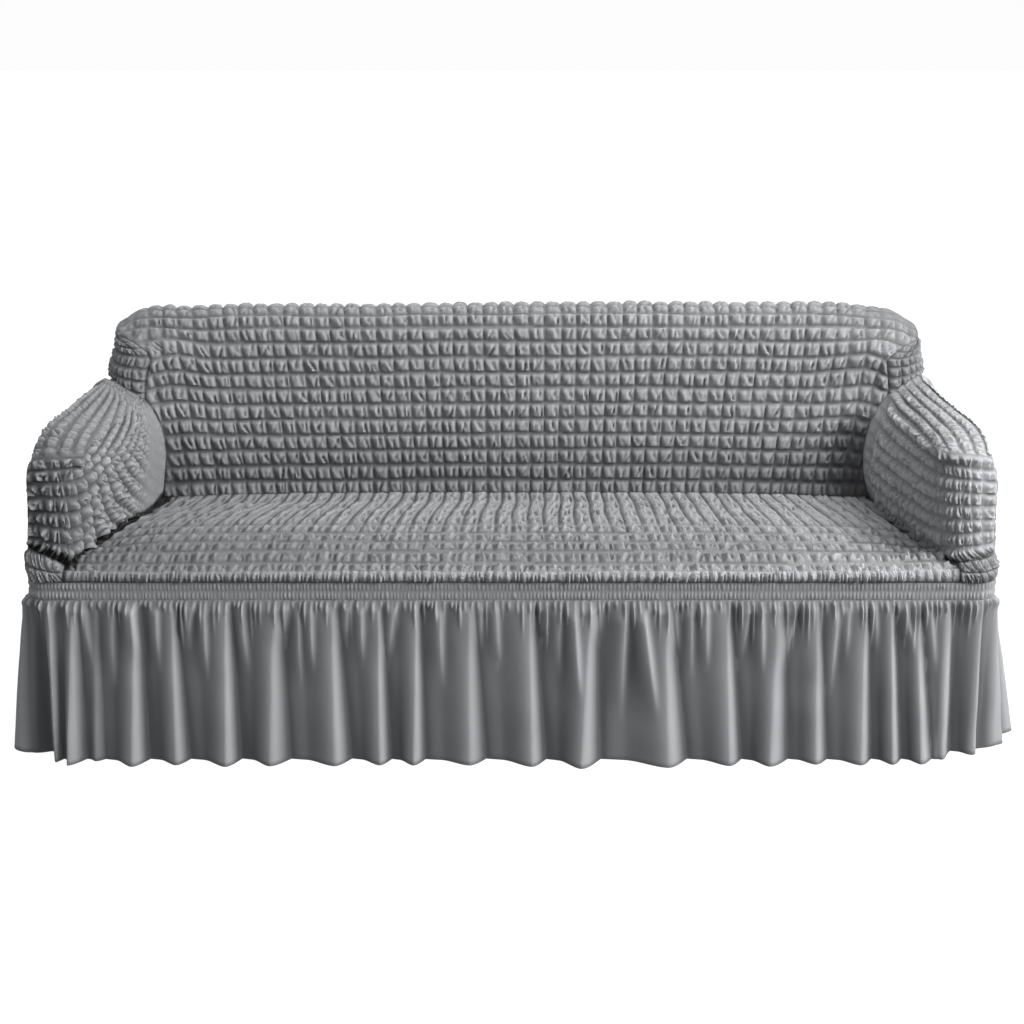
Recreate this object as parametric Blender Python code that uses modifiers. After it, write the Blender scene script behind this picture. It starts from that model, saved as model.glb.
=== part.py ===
"""Fitted cover for a three-seat sofa, as it hangs on the sofa, which is left out.

Puckered stretch cloth is cut in panels for the back, the seat and the two arms. They end on a shirred
elastic band, and a plain gathered skirt hangs from the band to the floor. Everything is in metres:
+X is the right-hand side seen from the front, +Y the back, +Z up. The origin is on the floor under the
middle of the cover.
"""

import math

import bpy
import numpy as np

# The band is a rounded rectangle, seen from above, and every panel ends on it.
HALF_WIDTH = 1.053
HALF_DEPTH = 0.430
CORNER = 0.050
BAND_TOP = 0.402
BAND_LOW = 0.362
GAP = 0.0003

# Thickness of each cloth. The puckered cloth is measured over its bubbles.
PUCKERED = 0.008
SHIRRED = 0.004
PLAIN = 0.002

# How far round the band, from the middle of its front, the panels' lower corners lie.
QUARTER = CORNER * math.pi / 2
ROUND = 4 * (HALF_WIDTH + HALF_DEPTH - 2 * CORNER) + 4 * QUARTER
AT_DROP = 0.965
AT_FRONT_CORNER = HALF_WIDTH - CORNER + QUARTER / 2
AT_ARM_REAR = HALF_WIDTH - CORNER + QUARTER + HALF_DEPTH - CORNER + 0.20
AT_REAR_CORNER = HALF_WIDTH - CORNER + QUARTER + 2 * (HALF_DEPTH - CORNER) + QUARTER / 2

# Segments that the panels share along their seams.
ACROSS = 20
CREASE = 9
ARM_UP = 5
ARM_FRONT = 3
ROLL_UP = 2
ARM_REAR_TOP = 3
ARM_REAR_DOWN = ARM_FRONT + ARM_UP + ROLL_UP - ARM_REAR_TOP
END_UP = 4
END_TOP = 4

# Where the arm's top and the start of the rounded top lie along the back's cross section.
AT_ARM_TOP = 0.36
AT_ROUND_TOP = 0.62

# The seams of one arm and one end of the back. Columns: distance from the middle on the left and on
# the right, y, height on the left and on the right.
SEAMS = {
    "arm_crease": [
        (0.865, 0.885, 0.140, 0.430, 0.430),
        (0.884, 0.905, 0.060, 0.426, 0.426),
        (0.925, 0.925, -0.030, 0.424, 0.424),
        (0.956, 0.948, -0.140, 0.425, 0.425),
        (0.969, 0.962, -0.280, 0.428, 0.430),
        (0.966, 0.962, -0.402, 0.433, 0.440),
    ],
    "arm_front_foot": [
        (0.966, 0.962, -0.402, 0.433, 0.440),
        (0.993, 0.991, -0.410, 0.452, 0.446),
        (1.022, 1.020, -0.404, 0.462, 0.450),
        (1.046, 1.044, -0.386, 0.468, 0.455),
    ],
    "arm_against_back": [
        (0.865, 0.885, 0.140, 0.430, 0.430),
        (0.857, 0.868, 0.148, 0.490, 0.490),
        (0.853, 0.866, 0.158, 0.545, 0.540),
        (0.862, 0.878, 0.168, 0.600, 0.605),
        (0.880, 0.900, 0.178, 0.642, 0.652),
        (0.903, 0.925, 0.185, 0.672, 0.685),
    ],
    "arm_ridge": [
        (0.903, 0.925, 0.185, 0.672, 0.685),
        (0.905, 0.917, 0.050, 0.674, 0.676),
        (0.910, 0.918, -0.100, 0.676, 0.677),
        (0.912, 0.915, -0.250, 0.680, 0.681),
        (0.914, 0.911, -0.362, 0.678, 0.682),
    ],
    "arm_front_top": [
        (0.914, 0.911, -0.362, 0.678, 0.682),
        (0.950, 0.948, -0.386, 0.678, 0.679),
        (0.990, 0.986, -0.386, 0.670, 0.670),
        (1.022, 1.018, -0.368, 0.656, 0.657),
    ],
    "arm_outer_edge": [
        (1.046, 1.044, -0.386, 0.468, 0.455),
        (1.050, 1.048, -0.390, 0.520, 0.510),
        (1.047, 1.046, -0.390, 0.580, 0.570),
        (1.038, 1.037, -0.384, 0.628, 0.620),
        (1.022, 1.018, -0.368, 0.656, 0.657),
    ],
    "arm_rear_top": [
        (0.903, 0.925, 0.185, 0.672, 0.685),
        (0.955, 0.966, 0.190, 0.702, 0.712),
        (1.000, 1.004, 0.195, 0.722, 0.732),
    ],
    "arm_rear_side": [
        (1.000, 1.004, 0.195, 0.722, 0.732),
        (1.028, 1.031, 0.199, 0.704, 0.712),
        (1.044, 1.046, 0.200, 0.655, 0.660),
        (1.052, 1.053, 0.200, 0.550, 0.550),
    ],
    "end_front": [
        (0.903, 0.925, 0.185, 0.672, 0.685),
        (0.896, 0.921, 0.187, 0.728, 0.728),
        (0.886, 0.918, 0.191, 0.776, 0.766),
        (0.922, 0.946, 0.206, 0.803, 0.787),
        (0.982, 1.004, 0.255, 0.820, 0.808),
    ],
    "end_top": [
        (0.982, 1.004, 0.255, 0.820, 0.808),
        (0.987, 1.010, 0.300, 0.824, 0.824),
        (0.983, 1.004, 0.345, 0.827, 0.832),
        (0.972, 0.982, 0.385, 0.812, 0.818),
    ],
    "rear_upright": [
        (1.036, 1.036, 0.412, 0.550, 0.550),
        (1.024, 1.028, 0.405, 0.700, 0.700),
        (0.972, 0.982, 0.385, 0.812, 0.818),
    ],
}

# Cross sections at the middle of the sofa. Columns: y, z.
BACK_PROFILE = [
    (0.152, 0.438),
    (0.168, 0.520),
    (0.187, 0.610),
    (0.204, 0.700),
    (0.219, 0.775),
    (0.235, 0.834),
    (0.261, 0.867),
    (0.305, 0.880),
    (0.355, 0.876),
    (0.395, 0.860),
]
SEAT_PROFILE = [
    (0.152, 0.438),
    (0.020, 0.441),
    (-0.120, 0.444),
    (-0.260, 0.445),
    (-0.350, 0.441),
    (-0.402, 0.432),
]
SEAT_FRONT_PROFILE = [
    (-HALF_DEPTH, BAND_TOP + GAP),
    (-0.436, 0.418),
    SEAT_PROFILE[-1],
]
# The seam where the seat meets the back, between the arms. Columns: x, y, z.
SEAT_REAR_SEAM = [
    (-0.600, 0.150, 0.435),
    (0.000, 0.152, 0.438),
    (0.600, 0.150, 0.435),
]
# The seam along the top of the back, behind. Columns: x, y, z.
BACK_TOP_SEAM = [
    (-0.972, 0.385, 0.812),
    (-0.920, 0.392, 0.838),
    (-0.780, 0.395, 0.856),
    (-0.400, 0.395, 0.860),
    (0.150, 0.395, 0.866),
    (0.650, 0.395, 0.865),
    (0.870, 0.394, 0.863),
    (0.948, 0.391, 0.852),
    (0.982, 0.385, 0.818),
]

# Folds of the skirt's front and its corners, from left to right. They lean over like breaking waves:
# steep to the right of the crest, with a long slope up to the next one. Columns: the crest's place
# round the band at the hem and at the top, how wide the steep strip is at the hem, its depth there.
FRONT_FOLDS = [
    (-1.160, -1.150, 0.026, 0.030),
    (-1.080, -1.072, 0.026, 0.032),
    (-1.012, -0.996, 0.026, 0.026),
    (-0.972, -0.948, 0.036, 0.036),
    (-0.915, -0.900, 0.020, 0.012),
    (-0.830, -0.815, 0.034, 0.042),
    (-0.735, -0.735, 0.028, 0.034),
    (-0.626, -0.618, 0.032, 0.044),
    (-0.530, -0.515, 0.044, 0.040),
    (-0.388, -0.390, 0.036, 0.040),
    (-0.290, -0.290, 0.026, 0.034),
    (-0.216, -0.207, 0.026, 0.034),
    (-0.094, -0.095, 0.038, 0.036),
    (0.042, 0.036, 0.034, 0.042),
    (0.150, 0.168, 0.046, 0.052),
    (0.340, 0.326, 0.046, 0.048),
    (0.474, 0.460, 0.032, 0.038),
    (0.562, 0.570, 0.046, 0.040),
    (0.664, 0.655, 0.030, 0.030),
    (0.762, 0.758, 0.030, 0.034),
    (0.832, 0.815, 0.026, 0.032),
    (0.895, 0.870, 0.030, 0.030),
    (0.952, 0.940, 0.024, 0.026),
    (1.020, 1.010, 0.024, 0.024),
    (1.090, 1.080, 0.024, 0.026),
    (1.165, 1.155, 0.028, 0.034),
]
FLARE = 0.024
SIDE_FLARE = 0.034
FOLD_PITCH = 0.110
# Lean from hem to band, strip and depth of a fold at the sides and the rear: least and most.
FOLD_LIMITS = ((-0.015, 0.015), (0.026, 0.044), (0.030, 0.042))
FOLD_SEED = 7
# Levels from the hem to the band, and what share of their depth and strip the folds have there.
SKIRT_LEVELS = ((0.0, 1.0, 1.0), (0.70, 0.57, 0.57), (0.94, 0.37, 0.42), (1.0, 0.0, 0.38))
TOP_OUT = -0.001
# Two columns on the long slope after a fold: how far along it they lie, and their share of the depth.
SLOPE_COLUMNS = ((0.45, 0.22), (0.80, 0.76))

# How far the middle of a panel stands out from the plain surface between its seams.
BACK_BULGE = 0.012
ROLL_BULGE = 0.010
ROLL_FRONT_BULGE = 0.014
ROLL_END_BULGE = (0.018, -0.004, 0.0)
ARM_FACE_BULGE = (-0.016, -0.016, 0.004)
ARM_TOP_BULGE = (0.012, 0.0, 0.024)
END_BULGE = (0.045, -0.020, 0.0)
# A bulge raised to this power is fuller towards the seams.
FULL = 0.5

# How much of the width, at each end, follows an end's seam rather than the profile.
BACK_REACH = 0.12
SEAT_REACH = 0.10
# Steadies the mitre at a seam where the cloths on both sides face almost the same way.
MITRE_STEADYING = 0.02
SHARP_FOLD = math.radians(50)

CLOTH_GREY = (0.235, 0.238, 0.243, 1.0)
BAND_GREY = (0.215, 0.218, 0.223, 1.0)
SKIRT_GREY = (0.225, 0.228, 0.233, 1.0)


def smooth(rows, places):
    """Points at places (0 to 1, by row) on a smooth curve through the rows."""
    rows = np.array(rows, float)
    steps = np.linalg.norm(np.diff(rows, axis=0), axis=1)
    knots = np.concatenate([[0], np.cumsum(steps)]) / steps.sum()
    slopes = np.diff(rows, axis=0) / np.diff(knots)[:, None]
    widths = np.diff(knots)[:, None]
    inner = (widths[1:] * slopes[:-1] + widths[:-1] * slopes[1:]) / (widths[1:] + widths[:-1])
    tangents = np.concatenate([slopes[:1], inner, slopes[-1:]])
    places = np.asarray(places, float)
    span = np.clip(np.searchsorted(knots, places, side="right") - 1, 0, len(knots) - 2)
    width = (knots[span + 1] - knots[span])[:, None]
    t = ((places - knots[span]) / width[:, 0])[:, None]
    return (
        (2 * t**3 - 3 * t**2 + 1) * rows[span]
        + (t**3 - 2 * t**2 + t) * width * tangents[span]
        + (3 * t**2 - 2 * t**3) * rows[span + 1]
        + (t**3 - t**2) * width * tangents[span + 1]
    )


def seam(name, side, count):
    """The named seam on the left (-1) or the right (+1), in count segments."""
    column = 0 if side < 0 else 1
    rows = [(side * row[column], row[2], row[3 + column]) for row in SEAMS[name]]
    if name == "arm_rear_side":
        rows.append(on_band(side * AT_ARM_REAR, BAND_TOP + GAP))
    if name == "rear_upright":
        rows.insert(0, on_band(side * AT_REAR_CORNER, BAND_TOP + GAP))
    return smooth(rows, np.linspace(0, 1, count + 1))


def on_band(along, z, out=0.0):
    """The point this far round the band from the middle of its front, out from its face."""
    along = (along + ROUND / 2) % ROUND - ROUND / 2
    side = -1 if along < 0 else 1
    left = abs(along)
    straight_x, straight_y = HALF_WIDTH - CORNER, HALF_DEPTH - CORNER
    for start, heading, length in (
        ((0, -HALF_DEPTH), 0, straight_x),
        ((straight_x, -straight_y), -90, QUARTER),
        ((HALF_WIDTH, -straight_y), 90, 2 * straight_y),
        ((straight_x, straight_y), 0, QUARTER),
        ((straight_x, HALF_DEPTH), 180, straight_x),
    ):
        if left <= length or heading == 180:
            break
        left -= length
    if length == QUARTER:
        turn = math.radians(heading) + left / CORNER
        x = start[0] + (CORNER + out) * math.cos(turn)
        y = start[1] + (CORNER + out) * math.sin(turn)
    else:
        turn = math.radians(heading)
        x = start[0] + left * math.cos(turn) + out * math.sin(turn)
        y = start[1] + left * math.sin(turn) - out * math.cos(turn)
    return side * x, y, z


def band_line(start, end, count):
    return np.array([on_band(s, BAND_TOP + GAP) for s in np.linspace(start, end, count + 1)])


def chain(*curves):
    """Curves that meet end to end, as one."""
    return np.concatenate([curves[0]] + [curve[1:] for curve in curves[1:]])


def fit(grid, left, right, low, high, reach=1.0):
    """Moves the edges of a grid [across, up] onto four curves, and the rest with them."""
    u = np.linspace(0, 1, grid.shape[0])[:, None, None]
    v = np.linspace(0, 1, grid.shape[1])[None, :, None]
    near = np.clip(1 - u / reach, 0, 1)
    far = np.clip(1 - (1 - u) / reach, 0, 1)
    if reach < 1:
        near, far = (w * w * (3 - 2 * w) for w in (near, far))
    grid = grid + near * (left[None] - grid[:1]) + far * (right[None] - grid[-1:])
    return grid + (1 - v) * (low[:, None] - grid[:, :1]) + v * (high[:, None] - grid[:, -1:])


def span(left, right, low, high):
    """The plain surface between four curves."""
    return fit(np.zeros((len(low), len(left), 3)), left, right, low, high)


def swell(grid, push, power=1.0):
    """Pushes the middle of a surface by a vector, and its edges not at all."""
    u = np.linspace(0, 1, grid.shape[0])[:, None, None]
    v = np.linspace(0, 1, grid.shape[1])[None, :, None]
    return grid + (16 * u * (1 - u) * v * (1 - v)) ** power * np.array(push)


def between(left, right, profile):
    """A surface whose x runs from one side curve to the other, with y and z from a profile."""
    u = np.linspace(0, 1, ACROSS + 1)[:, None]
    grid = np.empty((ACROSS + 1, len(profile), 3))
    grid[:, :, 0] = left[None, :, 0] * (1 - u) + right[None, :, 0] * u
    grid[:, :, 1:] = profile[None]
    return grid


def toward(side, push):
    """A vector written for the right-hand side, mirrored on the left."""
    return np.array([side * push[0], push[1], push[2]])


def outward(grid, side):
    """The grids are written for the right-hand side. A mirrored one is turned round."""
    return grid if side > 0 else grid[::-1]


def end_of_back(side):
    """The side edge of the back's front panel: up the arm, round the end and over the top."""
    return chain(
        seam("arm_against_back", side, ARM_UP),
        seam("end_front", side, END_UP),
        seam("end_top", side, END_TOP),
    )


def seat_rear():
    left, right = (seam("arm_crease", side, 1)[0] for side in (-1, 1))
    return smooth([left, *SEAT_REAR_SEAM, right], np.linspace(0, 1, ACROSS + 1))


def back_top_seam():
    return smooth(BACK_TOP_SEAM, np.linspace(0, 1, ACROSS + 1))


def inside_back():
    """The front of the back, with its rounded top, as far as the seam behind."""
    left, right = end_of_back(-1), end_of_back(1)
    places = np.concatenate([
        np.linspace(0, AT_ARM_TOP, ARM_UP + 1)[:-1],
        np.linspace(AT_ARM_TOP, AT_ROUND_TOP, END_UP + 1)[:-1],
        np.linspace(AT_ROUND_TOP, 1.0, END_TOP + 1),
    ])
    grid = between(left, right, smooth(BACK_PROFILE, places))
    return [fit(grid, left, right, seat_rear(), back_top_seam(), BACK_REACH)]


def outside_back():
    """The back's rear face, from its right-hand corner to its left."""
    rows = ARM_REAR_TOP + ARM_REAR_DOWN + END_UP
    left, right = seam("rear_upright", -1, rows), seam("rear_upright", 1, rows)
    low = band_line(AT_REAR_CORNER, ROUND - AT_REAR_CORNER, ACROSS)
    return [swell(span(right, left, low, back_top_seam()[::-1]), (0, BACK_BULGE, 0))]


def back_end(side):
    """The upright strip at an end of the back. Below the arm's top it runs behind the arm's side."""
    front = chain(
        seam("arm_rear_side", side, ARM_REAR_DOWN)[::-1],
        seam("arm_rear_top", side, ARM_REAR_TOP)[::-1],
        seam("end_front", side, END_UP),
    )
    rear = seam("rear_upright", side, len(front) - 1)
    low = band_line(side * AT_ARM_REAR, side * AT_REAR_CORNER, END_TOP)
    grid = span(front, rear, low, seam("end_top", side, END_TOP))
    up = np.linspace(0, 1, len(front))[None, :, None]
    through = np.linspace(0, 1, END_TOP + 1)[:, None, None]
    plump = 4 * through * (1 - through) * np.sin(np.pi * up**3)
    return [outward(grid + plump * toward(side, END_BULGE), side)]


def front_roll(side):
    """The edge between the seat's deck and the roll under an arm's front, from the band up."""
    top = seam("arm_crease", side, 1)[-1]
    foot = np.array(on_band(side * AT_DROP, BAND_TOP + GAP))
    middle = (top + foot) / 2 - (0, ROLL_FRONT_BULGE, 0)
    return smooth([foot, middle, top], np.linspace(0, 1, ROLL_UP + 1))


def roll_end(side):
    """The end of that roll, at the sofa's front corner, from the band up."""
    top = seam("arm_outer_edge", side, 1)[0]
    foot = np.array(on_band(side * AT_FRONT_CORNER, BAND_TOP + GAP))
    middle = (top + foot) / 2 + toward(side, ROLL_END_BULGE)
    return smooth([foot, middle, top], np.linspace(0, 1, ROLL_UP + 1))


def seat():
    """The deck with its rolled front, and the roll's two ends under the fronts of the arms."""
    left, right = (
        chain(front_roll(side), seam("arm_crease", side, CREASE)[::-1]) for side in (-1, 1)
    )
    deck = smooth(SEAT_PROFILE[::-1], np.linspace(0, 1, CREASE + 1))
    front = smooth(SEAT_FRONT_PROFILE, np.linspace(0, 1, ROLL_UP + 1))
    profile = np.concatenate([front[:-1], deck])
    low = band_line(-AT_DROP, AT_DROP, ACROSS)
    grids = [fit(between(left, right, profile), left, right, low, seat_rear(), SEAT_REACH)]
    for side in (-1, 1):
        low = band_line(side * AT_DROP, side * AT_FRONT_CORNER, ARM_FRONT)
        high = seam("arm_front_foot", side, ARM_FRONT)
        grid = span(front_roll(side), roll_end(side), low, high)
        grids.append(outward(swell(grid, (0, -ROLL_BULGE, 0), FULL), side))
    return grids


def arm_face(side):
    """The inner face of an arm and, round its corner, the front face."""
    low = chain(seam("arm_crease", side, CREASE), seam("arm_front_foot", side, ARM_FRONT))
    high = chain(seam("arm_ridge", side, CREASE), seam("arm_front_top", side, ARM_FRONT))
    rear = seam("arm_against_back", side, ARM_UP)
    grid = span(rear, seam("arm_outer_edge", side, ARM_UP), low, high)
    return [outward(swell(grid, toward(side, ARM_FACE_BULGE)), side)]


def arm_top(side):
    """The top of an arm and its outer side, down to the band."""
    front = chain(
        seam("arm_front_top", side, ARM_FRONT),
        seam("arm_outer_edge", side, ARM_UP)[::-1],
        roll_end(side)[::-1],
    )
    rear = chain(
        seam("arm_rear_top", side, ARM_REAR_TOP), seam("arm_rear_side", side, ARM_REAR_DOWN)
    )
    ridge = seam("arm_ridge", side, CREASE)
    foot = band_line(side * AT_ARM_REAR, side * AT_FRONT_CORNER, CREASE)
    grid = span(rear, front, ridge, foot)
    return [outward(swell(grid, toward(side, ARM_TOP_BULGE), FULL), side)]


def puckered_panels():
    """Each panel's name and its grids of outer points, whose rows and columns face outwards."""
    named = {"inside_back": inside_back(), "outside_back": outside_back(), "seat": seat()}
    for side, word in ((-1, "left"), (1, "right")):
        named["back_end_" + word] = back_end(side)
        named["arm_face_" + word] = arm_face(side)
        named["arm_top_" + word] = arm_top(side)
    return named


def number_points(named):
    """Gives points that panels share one number. Returns the points and each panel's quads."""
    numbers, quads = {}, {}
    for name, grids in named.items():
        quads[name] = []
        for grid in grids:
            ids = np.array([
                [numbers.setdefault(tuple(np.round(p, 5)), len(numbers)) for p in row] for row in grid
            ])
            for i in range(len(ids) - 1):
                for j in range(len(ids[0]) - 1):
                    quads[name].append(
                        (ids[i, j], ids[i + 1, j], ids[i + 1, j + 1], ids[i, j + 1])
                    )
    return np.array(list(numbers)), quads


def inward_steps(points, quads):
    """For each point, the step to the cloth's inner face for a thickness of one.

    At a seam the step lies along the mitre, so neighbouring panels get one common inner edge.
    """
    pull = np.zeros((len(points), 3, 3))
    want = np.zeros((len(points), 3))
    for corner in (quad for panel in quads.values() for quad in panel):
        a, b, c, d = points[list(corner)]
        normal = np.cross(c - a, d - b)
        area = np.linalg.norm(normal)
        normal /= area
        for number in corner:
            pull[number] += area * np.outer(normal, normal)
            want[number] -= area * normal
    steadying = MITRE_STEADYING * np.trace(pull, axis1=1, axis2=2)[:, None]
    ahead = want / np.linalg.norm(want, axis=1)[:, None]
    pull += steadying[:, :, None] * np.eye(3)
    steps = np.linalg.solve(pull, (want + steadying * ahead)[:, :, None])[:, :, 0]
    steps[points[:, 2] < BAND_TOP + 2 * GAP, 2] = 0
    return steps


def cloth_panel(points, steps, quads):
    """A closed solid under one panel's quads, drawn in by half a gap at its seams."""
    used = sorted({number for quad in quads for number in quad})
    local = {number: index for index, number in enumerate(used)}
    sides = [(quad[k], quad[k - 3]) for quad in quads for k in range(4)]
    rim = [(a, b) for a, b in sides if (b, a) not in set(sides)]
    outer = points[used]
    middles = {number: [] for pair in rim for number in pair}
    for quad in quads:
        for number in set(quad) & set(middles):
            middles[number].append(points[list(quad)].mean(axis=0))
    for number, around in middles.items():
        inside = np.mean(around, axis=0) - points[number]
        outer[local[number]] += GAP * inside / np.linalg.norm(inside)
    inner = outer + PUCKERED * steps[used]
    under = len(used)
    faces = [[local[number] for number in quad] for quad in quads]
    faces += [[under + index for index in reversed(face)] for face in faces]
    for a, b in rim:
        # Both panels at a seam cut this wall along the same diagonal, so that their walls match.
        a_out, b_out = local[a], local[b]
        if a < b:
            faces += [[b_out, a_out, under + b_out], [a_out, under + a_out, under + b_out]]
        else:
            faces += [[b_out, a_out, under + a_out], [b_out, under + a_out, under + b_out]]
    return np.concatenate([outer, inner]), faces


def ring_of(rows):
    """Points [round, up] of an open sleeve that closes on itself."""
    count, levels = len(rows), len(rows[0])
    faces = []
    for i in range(count):
        ahead = (i + 1) % count
        for j in range(levels - 1):
            low, high = i * levels + j, ahead * levels + j
            faces.append([low, high, high + 1, low + 1])
    return [point for row in rows for point in row], faces


def band_rows():
    places = np.concatenate([
        np.linspace(0, HALF_WIDTH - CORNER, ACROSS // 2 + 1)[:-1],
        HALF_WIDTH - CORNER + np.linspace(0, QUARTER, 5)[:-1],
        HALF_WIDTH - CORNER + QUARTER + np.linspace(0, 2 * (HALF_DEPTH - CORNER), 9)[:-1],
        ROUND / 2 - HALF_WIDTH + CORNER - np.linspace(QUARTER, 0, 5)[:-1],
        ROUND / 2 - HALF_WIDTH + CORNER + np.linspace(0, HALF_WIDTH - CORNER, ACROSS // 2 + 1),
    ])
    round_places = np.concatenate([places, -places[-2:0:-1]])
    return [[on_band(s, BAND_LOW), on_band(s, BAND_TOP)] for s in round_places]


def skirt_folds():
    """The front's folds, then folds of uneven pitch round the sides and the rear."""
    folds = list(FRONT_FOLDS)
    uneven = np.random.default_rng(FOLD_SEED)
    place, last = FRONT_FOLDS[-1][0], ROUND + FRONT_FOLDS[0][0]
    count = round((last - place) / FOLD_PITCH)
    for number in range(1, count):
        at = place + (last - place) * (number + uneven.uniform(-0.25, 0.25)) / count
        lean, strip, depth = (uneven.uniform(*limits) for limits in FOLD_LIMITS)
        folds.append((at, at + lean, strip, depth))
    return folds


def skirt_rows():
    """Columns of the skirt from the hem up: a crest, a valley and two on the slope to the next crest."""
    folds = skirt_folds()
    rows = [[] for _ in range(4 * len(folds))]
    for level, depth_left, strip_left in SKIRT_LEVELS:
        crests = [hem * (1 - level) + top * level for hem, top, _, _ in folds]
        crests.append(crests[0] + ROUND)
        for number, (_, _, strip, depth) in enumerate(folds):
            valley = crests[number] + strip * strip_left
            ahead = folds[(number + 1) % len(folds)][3]
            places = [(crests[number], depth), (valley, 0.0)]
            for share, stands in SLOPE_COLUMNS:
                places.append((valley + share * (crests[number + 1] - valley), stands * ahead))
            for index, (along, stands) in enumerate(places):
                rows[4 * number + index].append(skirt_point(along, stands * depth_left, level))
    return rows


def skirt_point(along, stands, level):
    """A point of the skirt, this far round the band, from the hem at level 0 to the band at level 1."""
    from_middle = abs((along + ROUND / 2) % ROUND - ROUND / 2)
    at_side = np.interp(from_middle, (1.00, 1.10, 1.90, 2.00), (0, 1, 1, 0))
    flare = FLARE + (SIDE_FLARE - FLARE) * at_side
    out = flare * (1 - level) ** 0.8 + stands + TOP_OUT
    return on_band(along, (BAND_LOW - 2 * GAP) * level, out)


def cloth_material(name, color, roughness):
    material = bpy.data.materials.new(name)
    material.use_nodes = True
    shader = material.node_tree.nodes["Principled BSDF"]
    shader.inputs["Base Color"].default_value = color
    shader.inputs["Roughness"].default_value = roughness
    shader.inputs["Metallic"].default_value = 0.0
    return material


def add_piece(name, points, faces, material, collection):
    mesh = bpy.data.meshes.new(name)
    mesh.from_pydata([tuple(point) for point in points], [], faces)
    mesh.materials.append(material)
    mesh.shade_smooth()
    mesh.set_sharp_from_angle(angle=SHARP_FOLD)
    piece = bpy.data.objects.new(name, mesh)
    collection.objects.link(piece)
    return piece


def thicken(piece, thickness):
    solidify = piece.modifiers.new("thickness", "SOLIDIFY")
    solidify.thickness = thickness
    solidify.offset = -1.0


def build():
    for old in list(bpy.data.objects):
        bpy.data.objects.remove(old)
    cover = bpy.data.collections.new("sofa_cover")
    bpy.context.scene.collection.children.link(cover)
    points, quads = number_points(puckered_panels())
    steps = inward_steps(points, quads)
    for name, panel in quads.items():
        material = cloth_material(name, CLOTH_GREY, 0.85)
        add_piece(name, *cloth_panel(points, steps, panel), material, cover)
    for name, rows, color, thickness in (
        ("band", band_rows(), BAND_GREY, SHIRRED),
        ("skirt", skirt_rows(), SKIRT_GREY, PLAIN),
    ):
        material = cloth_material(name, color, 0.8)
        thicken(add_piece(name, *ring_of(rows), material, cover), thickness)


build()
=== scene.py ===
"""A fitted sofa cover in grey stretch cloth, as it sits on the sofa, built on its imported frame."""

import math

import bpy
import numpy as np
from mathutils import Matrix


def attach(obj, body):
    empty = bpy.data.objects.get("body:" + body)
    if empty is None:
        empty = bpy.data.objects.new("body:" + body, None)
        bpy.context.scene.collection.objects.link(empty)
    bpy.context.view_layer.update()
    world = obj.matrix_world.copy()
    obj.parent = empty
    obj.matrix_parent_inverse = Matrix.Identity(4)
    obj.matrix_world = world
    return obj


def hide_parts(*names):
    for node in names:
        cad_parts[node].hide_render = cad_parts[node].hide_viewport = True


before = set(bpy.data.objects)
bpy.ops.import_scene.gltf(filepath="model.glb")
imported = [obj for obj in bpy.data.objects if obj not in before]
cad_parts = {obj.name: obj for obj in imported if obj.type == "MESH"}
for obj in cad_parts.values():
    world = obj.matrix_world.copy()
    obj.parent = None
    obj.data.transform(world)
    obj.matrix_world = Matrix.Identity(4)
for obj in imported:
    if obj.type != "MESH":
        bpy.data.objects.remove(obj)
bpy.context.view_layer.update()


# ---- Camera, floor and light -----------------------------------------------------------------------
# A plain pale floor and a backdrop, which throw no light back on the cloth, and soft studio light that
# comes mostly from the upper right, so that it rakes over the puckers and the folds.

CAMERA_PLACE = (0.0, -3.83, 1.549)
CAMERA_DOWN = 0.283
LENS_MM = 58.6
# The floor lies just under the hem, so that the two never meet.
FLOOR_BELOW = 0.001
FLOOR_HALF = 60.0
BACKDROP_HEIGHT = 30.0
FLOOR_FINISH = {
    "Base Color": (0.15, 0.15, 0.15, 1.0),
    "Roughness": 0.9,
    "Emission Color": (1.0, 1.0, 1.0, 1.0),
    "Emission Strength": 0.93,
}
DAYLIGHT = (0.96, 0.98, 1.0, 1.0)
AMBIENT = 0.21
# Each light: kind, power, angle in degrees or size in metres, and where it shines from.
LIGHTS = {
    "top": ("SUN", 1.25, 80, (0.3, -0.6, 4.0)),
    "low_side": ("AREA", 158, 2.6, (5.6, -1.15, 1.9)),
    "upper_side": ("AREA", 74, 1.6, (2.4, -0.9, 2.8)),
    "side_front": ("AREA", 138, 1.6, (3.2, -3.0, 2.2)),
    "front_fill": ("AREA", 14, 2.5, (-1.6, -4.2, 1.6)),
    "rear": ("AREA", 70, 1.4, (-1.4, 3.6, 0.9)),
}
AIM_HEIGHT = 0.45

scene = bpy.context.scene
scene.view_settings.view_transform = "Standard"
camera_data = bpy.data.cameras.new("camera")
camera_data.lens = LENS_MM
camera_data.sensor_width = 36.0
camera_data.clip_end = 200.0
camera = bpy.data.objects.new("camera", camera_data)
camera.location = CAMERA_PLACE
camera.rotation_euler = (math.pi / 2 - CAMERA_DOWN, 0.0, 0.0)
scene.collection.objects.link(camera)
scene.camera = camera

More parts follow.
